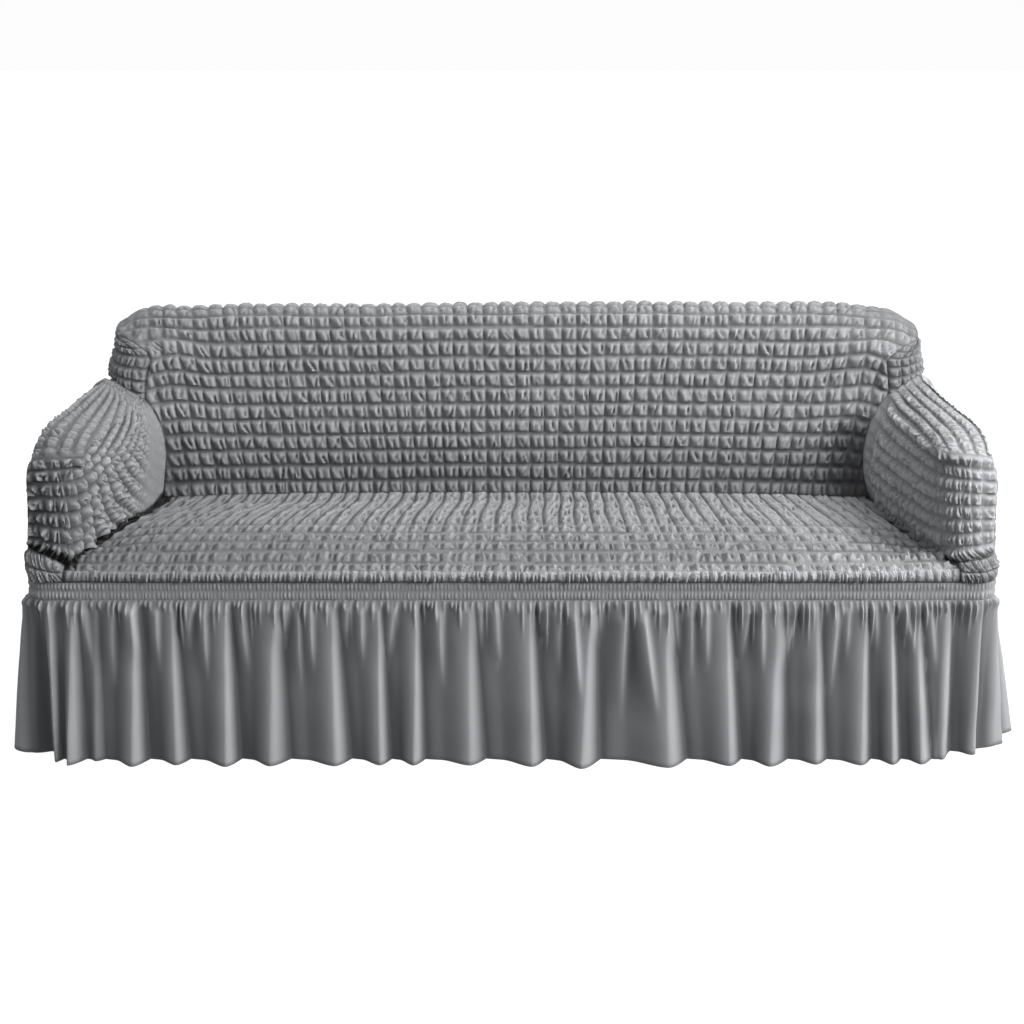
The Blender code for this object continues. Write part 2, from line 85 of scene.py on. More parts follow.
floor_paint = bpy.data.materials.new("floor_paint")
floor_paint.use_nodes = True
for socket, value in FLOOR_FINISH.items():
    floor_paint.node_tree.nodes["Principled BSDF"].inputs[socket].default_value = value
for name, corners in (
    ("floor", ((-1, -1, 0), (1, -1, 0), (1, 1, 0), (-1, 1, 0))),
    ("backdrop", ((-1, 1, 0), (1, 1, 0), (1, 1, 1), (-1, 1, 1))),
):
    plane_mesh = bpy.data.meshes.new(name)
    places = [(x * FLOOR_HALF, y * FLOOR_HALF, z * BACKDROP_HEIGHT - FLOOR_BELOW) for x, y, z in corners]
    plane_mesh.from_pydata(places, [], [(0, 1, 2, 3)])
    plane_mesh.materials.append(floor_paint)
    plane = bpy.data.objects.new(name, plane_mesh)
    plane.visible_diffuse = False
    plane.visible_glossy = False
    scene.collection.objects.link(plane)

world = bpy.data.worlds.new("studio")
world.use_nodes = True
world.node_tree.nodes["Background"].inputs["Color"].default_value = DAYLIGHT
world.node_tree.nodes["Background"].inputs["Strength"].default_value = AMBIENT
scene.world = world

for name, (kind, power, spread, (x, y, z)) in LIGHTS.items():
    light = bpy.data.lights.new(name, kind)
    light.energy = power
    if kind == "SUN":
        light.angle = math.radians(spread)
    else:
        light.size = spread
    lamp = bpy.data.objects.new(name, light)
    lamp.location = (x, y, z + AIM_HEIGHT)
    lamp.rotation_euler = (math.atan2(math.hypot(x, y), z), 0.0, math.atan2(y, x) + math.pi / 2)
    scene.collection.objects.link(lamp)


# ---- Inside back -----------------------------------------------------------------------------------
# The panel that faces the sitter: puckered stretch knit, woven in square bubbles between flat rows of
# elastic. It runs from the seat up over the rounded top and is sewn to the outside back behind it.

# The sewn lines of an arm and an end of the back, and the corners where they meet. Columns: distance
# from the middle on the left and on the right, y, height on the left and on the right.
SEAT_REAR_CORNER = (0.865, 0.885, 0.140, 0.430, 0.430)
ARM_TOP_REAR = (0.903, 0.925, 0.185, 0.672, 0.685)
BACK_TOP_FRONT = (0.982, 1.004, 0.255, 0.820, 0.808)
BACK_TOP_REAR = (0.972, 0.982, 0.385, 0.812, 0.818)
sewn = {
    "arm_against_back": [
        SEAT_REAR_CORNER,
        (0.857, 0.868, 0.148, 0.490, 0.490),
        (0.853, 0.866, 0.158, 0.545, 0.540),
        (0.862, 0.878, 0.168, 0.600, 0.605),
        (0.880, 0.900, 0.178, 0.642, 0.652),
        ARM_TOP_REAR,
    ],
    "end_front": [
        ARM_TOP_REAR,
        (0.896, 0.921, 0.187, 0.728, 0.728),
        (0.886, 0.918, 0.191, 0.776, 0.766),
        (0.922, 0.946, 0.206, 0.803, 0.787),
        BACK_TOP_FRONT,
    ],
    "end_top": [
        BACK_TOP_FRONT,
        (0.987, 1.010, 0.300, 0.833, 0.828),
        (0.983, 1.004, 0.345, 0.838, 0.836),
        BACK_TOP_REAR,
    ],
}
# The back's section at the middle. Columns: y, z.
BACK_SECTION = [
    (0.152, 0.438),
    (0.168, 0.520),
    (0.187, 0.610),
    (0.204, 0.700),
    (0.219, 0.775),
    (0.235, 0.834),
    (0.261, 0.867),
    (0.305, 0.880),
    (0.355, 0.876),
    (0.395, 0.860),
]
# The seam behind the top, and the one where the seat meets the back. Columns: x, y, z.
TOP_SEAM = [
    (-0.972, 0.385, 0.812),
    (-0.920, 0.392, 0.842),
    (-0.780, 0.395, 0.856),
    (-0.400, 0.395, 0.860),
    (0.150, 0.395, 0.866),
    (0.650, 0.395, 0.865),
    (0.870, 0.394, 0.863),
    (0.948, 0.391, 0.852),
    (0.982, 0.385, 0.818),
]
SEAT_SEAM = [
    (-0.865, 0.140, 0.430),
    (-0.600, 0.150, 0.435),
    (0.000, 0.152, 0.438),
    (0.600, 0.150, 0.435),
    (0.885, 0.140, 0.430),
]
BACK_COLUMNS = 50
# How wide a bubble is, and how high on this panel.
PITCH, BACK_ROW_PITCH = 0.0347, 0.0376
# How far up the panel the arm's top and the rounding are.
BACK_AT_ARM_TOP, BACK_AT_ROUNDING = 0.36, 0.62
# The rows are level up to this height. Above it the top's left end stands up a little.
LEVEL_ROWS_TO = 0.780
CORNER_RISE = 0.012
# The two shaped ends pull this share of the panel along with them.
BACK_END_REACH = 0.12
CLOTH_GREY = (0.275, 0.280, 0.288, 1.0)

# Where the mesh has places in one bubble, across it and up it.
BUBBLE_STEPS = (0.0, 0.10, 0.20, 0.30, 0.40, 0.50, 0.61, 0.72, 0.83, 0.92)
ROW_STEPS = (0.0, 0.09, 0.18, 0.31, 0.45, 0.59, 0.73, 0.87)
CLOTH_THICKNESS = 0.0016
# How high a bubble stands, and how deep the cloth between bubbles is drawn in.
RISE, SINK = 0.0110, 0.0070
# How far in from a seam its furrow, its flat strip and the sinking go, and the last at a soft seam.
FURROW, FLAT_STRIP, SINKING, SOFT_SINKING = 0.007, 0.009, 0.030, 0.090
# The inner surface has one place for so many of the outer one's, across and up.
INNER_STEPS = (5, 4)
# How much of a bubble its left flank takes, low down and high up, and where up it begins and ends to
# close at its head.
FLANK, HEAD = (0.46, 0.14), (0.66, 0.86)
# How many bubbles across and up have chance values of their own, and how many values each.
CHANCES = (97, 59, 16)
# Faces that turn by more degrees than this meet in a sharp edge.
SHARP_TURN = 80


def smooth(rows, places):
    """Points at places (0 to 1, by length) on a smooth curve through the rows."""
    rows = np.array(rows, float)
    steps = np.linalg.norm(np.diff(rows, axis=0), axis=1)
    knots = np.concatenate([[0], np.cumsum(steps)]) / steps.sum()
    widths = np.diff(knots)[:, None]
    slopes = np.diff(rows, axis=0) / widths
    inner = (widths[1:] * slopes[:-1] + widths[:-1] * slopes[1:]) / (widths[1:] + widths[:-1])
    tangents = np.concatenate([slopes[:1], inner, slopes[-1:]])
    span = np.clip(np.searchsorted(knots, places, side="right") - 1, 0, len(knots) - 2)
    width = widths[span]
    t = ((places - knots[span]) / width[:, 0])[:, None]
    return (
        (2 * t**3 - 3 * t**2 + 1) * rows[span]
        + (t**3 - 2 * t**2 + t) * width * tangents[span]
        + (3 * t**2 - 2 * t**3) * rows[span + 1]
        + (t**3 - t**2) * width * tangents[span + 1]
    )


def seam(name, side):
    """The named sewn line on the left (-1) or the right (+1), as points."""
    column = 0 if side < 0 else 1
    return [(side * row[column], row[2], row[3 + column]) for row in sewn[name]]


def chain(parts, ends, places):
    """Sewn lines end to end: each part runs to its own end, on the way from 0 to 1."""
    points = np.empty((len(places), len(parts[0][0])))
    start = 0.0
    for rows, end in zip(parts, ends):
        mine = (places >= start) & (places <= end)
        points[mine] = smooth(rows, (places[mine] - start) / (end - start))
        start = end
    return points


def fit(grid, across, up, left, right, low, high, reach=1.0):
    """Moves the edges of a grid [across, up] onto four curves, and the rest with them.

    The left and the right curve move only what lies within reach of them, from 0 to 1.
    """
    u, v = across[:, None, None], up[None, :, None]
    near, far = np.clip(1 - u / reach, 0, 1), np.clip(1 - (1 - u) / reach, 0, 1)
    if reach < 1:
        near, far = ease(near, 0, 1), ease(far, 0, 1)
    grid = grid + near * (left[None] - grid[:1]) + far * (right[None] - grid[-1:])
    return grid + (1 - v) * (low[:, None] - grid[:, :1]) + v * (high[:, None] - grid[:, -1:])


def between(across, left, right, section):
    """A surface whose x runs from one side curve to the other, with y and z from a section."""
    grid = np.empty((len(across), len(section), 3))
    grid[:, :, 0] = left[None, :, 0] * (1 - across[:, None]) + right[None, :, 0] * across[:, None]
    grid[:, :, 1:] = section[None]
    return grid


def ease(value, start, end):
    """0 before start, 1 after end, and a smooth rise between them."""
    t = np.clip((value - start) / (end - start), 0, 1)
    return t * t * (3 - 2 * t)


def fade(value, start, end):
    """1 before start, 0 after end, and a smooth fall between them."""
    return 1 - ease(value, start, end)


def hump(value, start, full, fall, end):
    """0 before start and after end, 1 from full to fall, and smooth in between."""
    return ease(value, start, full) * fade(value, fall, end)


def lattice(first, last, steps):
    """Places from first to last, counted in bubbles, closer together on a bubble's flanks."""
    places = (np.arange(math.floor(first), math.ceil(last))[:, None] + np.array(steps)).ravel()
    return np.concatenate([[first], places[(places > first + 0.05) & (places < last - 0.05)], [last]])


def unevenness(x, y, seed):
    """Smooth chance values, about -1 to 1, that change over a distance of 1 in x and y."""
    wide, high = 61, 67
    table = np.random.default_rng(seed).uniform(-1, 1, (wide, high))
    i, j = np.floor(x).astype(int), np.floor(y).astype(int)
    s, t = ease(x - i, 0, 1), ease(y - j, 0, 1)
    near, far = (
        table[i % wide, up % high] * (1 - s) + table[(i + 1) % wide, up % high] * s for up in (j, j + 1)
    )
    return near * (1 - t) + far * t


def bubbles(
    columns, rows, seed, flank=FLANK, head=HEAD, dent=0.55, domed=0.0, ground=0.35, rowed=1.0, ribbed=0.0
):
    """Heights, about 0 to 1, of puckered bubbles at these places, which are counted in bubbles. Also the
    painted light and shade there: 1 on a crown, less between the rows, with a painted shadow line under
    each bubble, and 0 in a crease or between two bubbles, where shade falls.

    A bubble rises slowly on its left, more so low down, and drops steeply on its right, because the
    cloth hangs a little askew. Its crown is creased. Where domed is 1 it is round instead. Where rowed is
    0 the bubbles run together across the rows, and where ribbed is 1 they run together along them. Ground
    is how much painted light the rows of elastic get.
    """
    columns, rows = np.broadcast_arrays(columns, rows)
    rows = rows + 0.07 * unevenness(columns / 3.1, rows * 1.7, seed + 1)
    columns = columns + 0.10 * unevenness(columns * 0.9, rows / 2.3, seed + 2)
    column, row = np.floor(columns).astype(int), np.floor(rows).astype(int)
    # Where a place lies in its own bubble, from its left and from its foot, and that bubble's chances.
    from_left, from_foot = columns - column, rows - row
    chance = np.random.default_rng(seed).random(CHANCES)[column % CHANCES[0], row % CHANCES[1]]
    low_flank, high_flank, right, foot, crown, tall = (chance[..., k] for k in range(6))
    low_flank = flank[0] * (0.5 + low_flank)
    left = low_flank + (flank[1] * (0.6 + 0.8 * high_flank) - low_flank) * ease(from_foot, 0.10, 0.75)
    across = np.clip(from_left / left, 0, 1) * fade(from_left, 0.84 + 0.07 * right, 1.0)
    across = across * (1 - 0.16 * ((from_left - 0.6) / 0.5) ** 2)
    across = across + domed * (np.sqrt(np.clip(4 * from_left * (1 - from_left), 0, 1)) - across)
    across = across + ribbed * (0.85 - across)
    up = hump(from_foot, 0.0, 0.11 + 0.06 * foot, head[0], head[1] + 0.08 * crown)
    up = up + (1 - up) * (1 - rowed)
    height = across * up * (0.80 + 0.35 * tall)
    # Painted light on the crown, and painted shade between the bubbles and in a thin line under each
    # bubble's foot.
    light = ground + up * (across - ground) - 0.35 * rowed * np.exp(-((from_foot / 0.08) ** 2))
    # Two creases, each with five chances of its own.
    for first in (6, 11):
        turned, right, high, long, deep = (chance[..., k] for k in range(first, first + 5))
        turn = 1.3 * (turned - 0.5)
        x, y = from_left - 0.44 - 0.34 * right, from_foot - 0.28 - 0.25 * high
        along, aside = y * np.cos(turn) - x * np.sin(turn), x * np.cos(turn) + y * np.sin(turn)
        held = fade(np.abs(along), 0.18 + 0.12 * long, 0.40)
        crease = np.exp(-((aside / 0.080) ** 2)) - 0.5 * np.exp(-(((aside + 0.16) / 0.09) ** 2))
        crease = crease * held * (0.4 + 0.8 * deep) * ease(height, 0.1, 0.7)
        height = height - dent * crease
        # Painted shade in each crease.
        light = light - 0.7 * crease
    return height, np.clip(light, 0, 1)


def edge_distance(grid):
    """How far each point of a grid lies from the nearest of the grid's four edges."""
    ends = (grid[:1], grid[-1:], grid[:, :1], grid[:, -1:])
    return np.min([np.linalg.norm(grid - end, axis=2) for end in ends], axis=0)


def outward_normals(grid):
    """The direction out of the cloth at each point of a grid."""
    normals = np.cross(np.gradient(grid, axis=0), np.gradient(grid, axis=1))
    return normals / np.maximum(np.linalg.norm(normals, axis=2, keepdims=True), 1e-12)


def coarse(count, step):
    """Every step-th index, and the last."""
    return list(range(0, count - 1, step)) + [count - 1]


def closed_faces(across, up, steps, ring, start):
    """Faces of a sheet: a fine outer grid, a coarser inner one, and the narrow walls round its edge."""
    rows, columns = coarse(across, steps[0]), coarse(up, steps[1])
    under, wide = start + across * up, len(columns)
    outer_pairs = [(i, i + 1) for i in range(across - 1)]
    inner_pairs = [(k, k + 1, range(rows[k], rows[k + 1] + 1)) for k in range(len(rows) - 1)]
    if ring:
        outer_pairs.append((across - 1, 0))
        inner_pairs.append((len(rows) - 1, 0, (across - 1, 0)))
    faces = []
    for i, ahead in outer_pairs:
        a, b = start + i * up, start + ahead * up
        faces += [(a + j, b + j, b + j + 1, a + j + 1) for j in range(up - 1)]
    for k, ahead, outer in inner_pairs:
        a, b = under + k * wide, under + ahead * wide
        faces += [(a + j, a + j + 1, b + j + 1, b + j) for j in range(wide - 1)]
        faces.append([start + i * up for i in reversed(outer)] + [a, b])
        faces.append([start + i * up + up - 1 for i in outer] + [b + wide - 1, a + wide - 1])
    if not ring:
        last_outer, last = start + (across - 1) * up, under + (len(rows) - 1) * wide
        for k in range(wide - 1):
            outer = range(columns[k], columns[k + 1] + 1)
            faces.append([start + j for j in outer] + [under + k + 1, under + k])
            faces.append([last_outer + j for j in reversed(outer)] + [last + k, last + k + 1])
    return faces


def make_piece(name, parts, paint, ring=0.0):
    """A piece from parts. Each is (outer points, inner points, steps, painted light and shade, places on
    the cloth).

    A ring is a part that closes on itself; its length is then given.
    """
    points, faces, lights, places = [], [], [], []
    for outer, inner, steps, light, cloth in parts:
        start = sum(len(block) for block in points)
        faces += closed_faces(outer.shape[0], outer.shape[1], steps, ring > 0, start)
        picked = np.ix_(coarse(outer.shape[0], steps[0]), coarse(outer.shape[1], steps[1]))
        points += [outer.reshape(-1, 3), inner[picked].reshape(-1, 3)]
        lights += [light.ravel(), light[picked].ravel()]
        places += [cloth.reshape(-1, 2), cloth[picked].reshape(-1, 2)]
    mesh = bpy.data.meshes.new(name)
    mesh.from_pydata(np.concatenate(points).tolist(), [], faces)
    painted_shading = mesh.attributes.new("painted_shading", "FLOAT", "POINT")
    painted_shading.data.foreach_set("value", np.concatenate(lights))
    corners = np.empty(len(mesh.loops), int)
    mesh.loops.foreach_get("vertex_index", corners)
    spread = np.concatenate(places)[corners]
    if ring:
        sizes = [len(face) for face in faces]
        furthest = np.repeat(np.maximum.reduceat(spread[:, 0], np.cumsum([0] + sizes[:-1])), sizes)
        spread[:, 0] += np.where(furthest - spread[:, 0] > ring / 2, ring, 0)
    mesh.uv_layers.new(name="cloth").data.foreach_set("uv", spread.ravel())
    mesh.materials.append(paint)
    mesh.shade_smooth()
    mesh.set_sharp_from_angle(angle=math.radians(SHARP_TURN))
    piece = bpy.data.objects.new(name, mesh)
    scene.collection.objects.link(piece)
    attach(piece, "root")
    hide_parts(name)
    return piece


def puckered(base, columns, rows, heights, lights, rise=RISE, sink=SINK, soft=0.0, through=0.0):
    """One part of a piece: the bubbles raised on a base surface that sinks a little inside its seams.

    Where soft is 1 the seam hardly makes a furrow, and where through is 1 the bubbles run on across it.
    """
    away = edge_distance(base)
    normals = outward_normals(base)
    low = sink * ease(away, 0.0, SINKING + (SOFT_SINKING - SINKING) * soft)
    furrow = fade(away, 0.0, FURROW)
    lift = heights * np.maximum(ease(away, 0.0, FLAT_STRIP), through)
    outer = base + normals * (rise * lift - low)[..., None]
    inner = base - normals * (low + CLOTH_THICKNESS)[..., None]
    cloth = PITCH * np.stack(np.broadcast_arrays(columns, rows), axis=2).astype(float)
    # The furrow along a seam gets painted shade, less so at a soft seam.
    return outer, inner, INNER_STEPS, lights * (1 - 0.7 * furrow * (1 - soft)), cloth


def add_node(tree, kind, sockets, **options):
    """A shader node with its options set, and each of its sockets fed by another's output or a value."""
    node = tree.nodes.new("ShaderNode" + kind)
    for option, value in options.items():
        setattr(node, option, value)
    for socket, value in sockets.items():
        if isinstance(value, bpy.types.NodeSocket):
            tree.links.new(value, node.inputs[socket])
        else:
            node.inputs[socket].default_value = value
    return node


def knit_group():
    """Bump and mottling of fine stretch knit, from places on the cloth in metres."""
    group = bpy.data.node_groups.new("stretch_knit", "ShaderNodeTree")
    for socket, way, kind, value in (
        ("Places", "INPUT", "NodeSocketVector", (0.0, 0.0, 0.0)),
        ("Wales per metre", "INPUT", "NodeSocketFloat", 520.0),
        ("Wrinkles per metre", "INPUT", "NodeSocketFloat", 110.0),
        ("Wrinkle shape", "INPUT", "NodeSocketVector", (1.0, 0.5, 1.0)),
        ("Wrinkle depth", "INPUT", "NodeSocketFloat", 0.0012),
        ("Wrinkled", "INPUT", "NodeSocketFloat", 1.0),
        ("Rib depth", "INPUT", "NodeSocketFloat", 0.00010),
        ("Normal", "OUTPUT", "NodeSocketVector", (0.0, 0.0, 0.0)),
        ("Mottle", "OUTPUT", "NodeSocketFloat", 0.5),
    ):
        group.interface.new_socket(socket, in_out=way, socket_type=kind).default_value = value
    given = group.nodes.new("NodeGroupInput").outputs
    result = group.nodes.new("NodeGroupOutput").inputs
    scaled = {0: given["Places"], "Scale": given["Wales per metre"]}
    wales = add_node(group, "VectorMath", scaled, operation="SCALE")
    # At this scale the texture has one band in each unit, and so one for each wale.
    waves = {"Vector": wales.outputs["Vector"], "Scale": 0.314, "Distortion": 1.2, "Detail": 1.0}
    ribs = add_node(group, "TexWave", waves, wave_type="BANDS", bands_direction="X")
    drawn = {0: given["Places"], 1: given["Wrinkle shape"]}
    drawn_out = add_node(group, "VectorMath", drawn, operation="MULTIPLY")
    crumple = {"Vector": drawn_out.outputs["Vector"], "Scale": given["Wrinkles per metre"]}
    crumple.update({"Detail": 2.5, "Roughness": 0.6, "Distortion": 0.8})
    wrinkles = add_node(group, "TexNoise", crumple)
    valleys = add_node(group, "Math", {0: wrinkles.outputs["Fac"], 1: 0.25}, operation="PINGPONG")
    masks = {0: valleys.outputs["Value"], 1: given["Wrinkled"]}
    masked = add_node(group, "Math", masks, operation="MULTIPLY")
    wrinkled = {"Height": masked.outputs["Value"], "Distance": given["Wrinkle depth"], "Strength": 1.0}
    deep = add_node(group, "Bump", wrinkled)
    ribbed = {"Height": ribs.outputs["Fac"], "Distance": given["Rib depth"], "Strength": 1.0}
    fine = add_node(group, "Bump", {**ribbed, "Normal": deep.outputs["Normal"]})
    group.links.new(fine.outputs["Normal"], result["Normal"])
    mottle = add_node(group, "TexNoise", {"Vector": given["Places"], "Scale": 900.0, "Detail": 2.0})
    group.links.new(mottle.outputs["Fac"], result["Mottle"])
    return group


stretch_knit = knit_group()


def cloth_paint(name, grey=CLOTH_GREY, wrinkles=(90.0, 0.5, 0.004), shade=(0.62, 1.12), rough=0.85):
    """Matte stretch cloth with painted shade in its hollows and painted light on its crowns, mottled like
    yarn, with knit and wrinkles in its bump.

    The wrinkles are given by how many there are in a metre, by that number's share across them, and by
    their depth. They follow the places with more painted light. The shade is the painted shade and light:
    how much of the grey is left in the hollows and on the crowns.
    """
    paint = bpy.data.materials.new(name)
    paint.use_nodes = True
    tree = paint.node_tree
    shader = tree.nodes["Principled BSDF"].inputs
    shader["Roughness"].default_value = rough
    shader["Sheen Weight"].default_value = 0.12
    shader["Sheen Roughness"].default_value = 0.45
    shader["Specular IOR Level"].default_value = 0.25
    cloth = add_node(tree, "UVMap", {}, uv_map="cloth")
    painted_shading = add_node(tree, "Attribute", {}, attribute_name="painted_shading").outputs["Fac"]
    count, share, depth = wrinkles
    knitted = {"Places": cloth.outputs["UV"], "Wrinkled": painted_shading, "Wrinkles per metre": count}
    knitted.update({"Wrinkle shape": (1.0, share, 1.0), "Wrinkle depth": depth})
    knit = add_node(tree, "Group", knitted, node_tree=stretch_knit)
    tree.links.new(knit.outputs["Normal"], shader["Normal"])
    limits = {"From Min": 0.0, "From Max": 1.0, "To Min": shade[0], "To Max": shade[1]}
    painted_shade = add_node(tree, "MapRange", {"Value": painted_shading, **limits}, clamp=False)
    limits = {"From Min": 0.25, "From Max": 0.75, "To Min": 0.88, "To Max": 1.12}
    yarn = add_node(tree, "MapRange", {"Value": knit.outputs["Mottle"], **limits})
    both = {0: painted_shade.outputs["Result"], 1: yarn.outputs["Result"]}
    shading = add_node(tree, "Math", both, operation="MULTIPLY")
    tinted = {0: grey[:3], "Scale": shading.outputs["Value"]}
    colour = add_node(tree, "VectorMath", tinted, operation="SCALE")
    tree.links.new(colour.outputs["Vector"], shader["Base Color"])
    return paint


def end_of_back(side, places):
    """The side edge of the panel, with its heights matched to those in the middle below the rounding."""
    parts = [seam(name, side) for name in ("arm_against_back", "end_front", "end_top")]
    ends = (BACK_AT_ARM_TOP, BACK_AT_ROUNDING, 1.0)
    count = 400
    even = np.linspace(0, 1, count)
    middle_height = smooth(BACK_SECTION, even)[:, 1]
    end_height = chain(parts, ends, even)[:, 2]
    level = np.argmax(middle_height > LEVEL_ROWS_TO)
    rising = slice(0, np.argmax(end_height > LEVEL_ROWS_TO) + 1)
    matched = np.interp(middle_height[:level], end_height[rising], even[rising])
    rest = matched[-1] + (1 - matched[-1]) * np.linspace(0, 1, count - level + 1)[1:]
    return chain(parts, ends, np.interp(places, even, np.concatenate([matched, rest])))


section_steps = np.linalg.norm(np.diff(smooth(BACK_SECTION, np.linspace(0, 1, 200)), axis=0), axis=1)
back_height = section_steps.sum()
columns = lattice(0, BACK_COLUMNS, BUBBLE_STEPS)
rows = lattice(0, back_height / BACK_ROW_PITCH, ROW_STEPS)
u = columns / BACK_COLUMNS
v = (rows - rows[0]) / (rows[-1] - rows[0])
left, right = end_of_back(-1, v), end_of_back(1, v)
# The grid is even between straight ends first. Shaping them moves the columns of bubbles along, so
# that the seam cuts through bubbles of full width.
straight = [(1 - v)[:, None] * end[0] + v[:, None] * end[-1] for end in (left, right)]
even_base = between(u, *straight, smooth(BACK_SECTION, v))
base = fit(even_base, u, v, left, right, smooth(SEAT_SEAM, u), smooth(TOP_SEAM, u), BACK_END_REACH)
# The rounded top stands up a little at its left end.
corner = hump(u, 0.0, 0.018, 0.018, 0.070)
base[:, :, 2] += CORNER_RISE * corner[:, None] * hump(v, 0.66, 0.82, 0.90, 1.0)
columns, rows = np.meshgrid(columns, rows, indexing="ij")
columns = columns + (base - even_base)[:, :, 0] / PITCH
# Over the rounded top the bubbles are plump, and at its two ends they are drawn flat, with even painted
# shading.
near_top = ease(v, 0.72, 0.84)[None]
heights, lights = bubbles(columns, rows, seed=11, dent=0.55 * (1 - 0.8 * near_top), domed=0.7 * near_top)
at_left, at_right = fade(u, 0.020, 0.060)[:, None], ease(u, 0.90, 0.98)[:, None]
stretched = ease(v, 0.66, 0.80)[None] * (at_left + at_right)
heights, lights = heights * (1 - 0.85 * stretched), lights + (0.48 - lights) * 0.8 * stretched
# Painted shade darkens the rounded top towards its right end.
lights = lights - 0.30 * ease(v, 0.60, 0.80)[None] * ease(u, 0.84, 0.96)[:, None]
# Painted shade darkens the panel towards the seat and beside the arms, most by the right arm, and
# painted light lightens its upper rows.
beside_left, beside_right = fade(u, 0.015, 0.060), ease(u, 0.925, 0.985)
painted_arm_shade = fade(v, 0.26, 0.36) * (0.25 * beside_left + 0.75 * beside_right)[:, None]
lights = lights + 0.07 * ease(rows, 7.0, 16.0)
lights = np.maximum(lights - 0.44 * fade(rows, 0.3, 6.0) - painted_arm_shade, -0.15)
back_paint = cloth_paint("inside_back_cloth", shade=(0.42, 1.15))
inside_back = make_piece("inside_back", [puckered(base, columns, rows, heights, lights)], back_paint)


# ---- Outside back ----------------------------------------------------------------------------------
# The same puckered knit over the sofa's rear face, sewn to the inside back behind the top, to the two
# ends along the uprights and to the band at its foot.

# The band's outline, and lengths along it: round a corner, all the way round, and from the middle of
# the front to the middle of a rear corner.
HALF_WIDTH, HALF_DEPTH, CORNER = 1.053, 0.430, 0.050
BAND_TOP = 0.402
QUARTER = CORNER * math.pi / 2
ROUND = 4 * (HALF_WIDTH + HALF_DEPTH - 2 * CORNER) + 4 * QUARTER
AT_REAR_CORNER = HALF_WIDTH - CORNER + QUARTER + 2 * (HALF_DEPTH - CORNER) + QUARTER / 2
sewn["rear_upright"] = [
    (1.036, 1.036, 0.412, 0.550, 0.550),
    (1.024, 1.028, 0.405, 0.700, 0.700),
    BACK_TOP_REAR,
]
OUTSIDE_COLUMNS, OUTSIDE_ROWS = 56, 13
OUTSIDE_BULGE = 0.012
# The bubbles that face the wall have fewer places.
FEW_STEPS = (0.0, 0.14, 0.32, 0.52, 0.72, 0.89)


def round_band(along, z, out=0.0):
    """Points this far round the band from the middle of its front, this far out from its face."""
    along, z, out = np.broadcast_arrays(np.asarray(along, float), z, out)
    along = (along + ROUND / 2) % ROUND - ROUND / 2
    far_x, far_y = HALF_WIDTH - CORNER, HALF_DEPTH - CORNER
    stops = np.cumsum([0, far_x, QUARTER, 2 * far_y, QUARTER, far_x])
    turn = np.interp(np.abs(along), stops, np.radians([-90, -90, 0, 0, 90, 90]))
    x = np.interp(np.abs(along), stops, [0, far_x, far_x, far_x, far_x, 0])
    y = np.interp(np.abs(along), stops, [-far_y, -far_y, -far_y, far_y, far_y, far_y])
    x, y = x + (CORNER + out) * np.cos(turn), y + (CORNER + out) * np.sin(turn)
    return np.stack([np.where(along < 0, -x, x), y, z], axis=-1)


def panel(across, up, column_steps=BUBBLE_STEPS, row_steps=ROW_STEPS):
    """Shares of the way across and up a panel of so many bubbles, and the grid of places in bubbles."""
    columns, rows = lattice(0, across, column_steps), lattice(0, up, row_steps)
    return columns / across, rows / up, *np.meshgrid(columns, rows, indexing="ij")


def upright(side, places):
    """The seam between the outside back and one end of the back, from the band up."""
    foot = tuple(round_band(side * AT_REAR_CORNER, BAND_TOP))
    return smooth([foot, *seam("rear_upright", side)], places)


def ruled(across, up, left, right, low, high):
    """The plain surface between four curves."""
    return fit(np.zeros((len(across), len(up), 3)), across, up, left, right, low, high)


def swell(grid, across, up, push, power=1.0):
    """Pushes the middle of a surface by a vector, and its edges not at all."""
    u, v = across[:, None, None], up[None, :, None]
    return grid + (16 * u * (1 - u) * v * (1 - v)) ** power * np.array(push)


u, v, columns, rows = panel(OUTSIDE_COLUMNS, OUTSIDE_ROWS, FEW_STEPS, FEW_STEPS)
foot = round_band(AT_REAR_CORNER + u * (ROUND - 2 * AT_REAR_CORNER), BAND_TOP)
base = ruled(u, v, upright(1, v), upright(-1, v), foot, smooth(TOP_SEAM, 1 - u))
base = swell(base, u, v, (0, OUTSIDE_BULGE, 0))
puckers = bubbles(columns, rows, seed=23)
outside_paint = cloth_paint("outside_back_cloth")
outside_back = make_piece("outside_back", [puckered(base, columns, rows, *puckers)], outside_paint)


# ---- Back ends -------------------------------------------------------------------------------------
# The upright strips of puckered knit that close the two ends of the back. Below the arms' tops they
# run on behind the arms' outer sides, down to the band.

# How far back an arm's outer side reaches, and where that is round the band.
ARM_REAR = 0.20
AT_ARM_REAR = HALF_WIDTH - CORNER + QUARTER + HALF_DEPTH - CORNER + ARM_REAR
ARM_SIDE_REAR = (1.000, 1.004, 0.195, 0.722, 0.732)
sewn["arm_rear_top"] = [
    ARM_TOP_REAR,
    (0.955, 0.966, 0.190, 0.702, 0.712),
    ARM_SIDE_REAR,
]
sewn["arm_rear_side"] = [
    ARM_SIDE_REAR,
    (1.028, 1.031, 0.199, 0.704, 0.712),
    (1.044, 1.046, 0.200, 0.655, 0.660),
    (1.052, 1.053, 0.200, 0.550, 0.550),
]
END_COLUMNS, END_ROWS = 12, 26
# Where the front edge's parts end: beside the arm's outer side, over the arm's top, up the back.
END_FRONT_STOPS = (7 / 14, 10 / 14, 1.0)
END_BULGE = (0.044, -0.045, 0.0)


def arm_rear_side(side):
    """The seam between an arm's outer side and the end of the back, from the top down to the band."""
    return [*seam("arm_rear_side", side), tuple(round_band(side * AT_ARM_REAR, BAND_TOP))]


def toward(side, push):
    """A vector written for the right-hand side, mirrored on the left."""
    return np.array([side * push[0], push[1], push[2]])


def facing_out(part, side):
    """Grids are written for the right-hand side. A mirrored one is turned round."""
    return part if side > 0 else part[::-1]
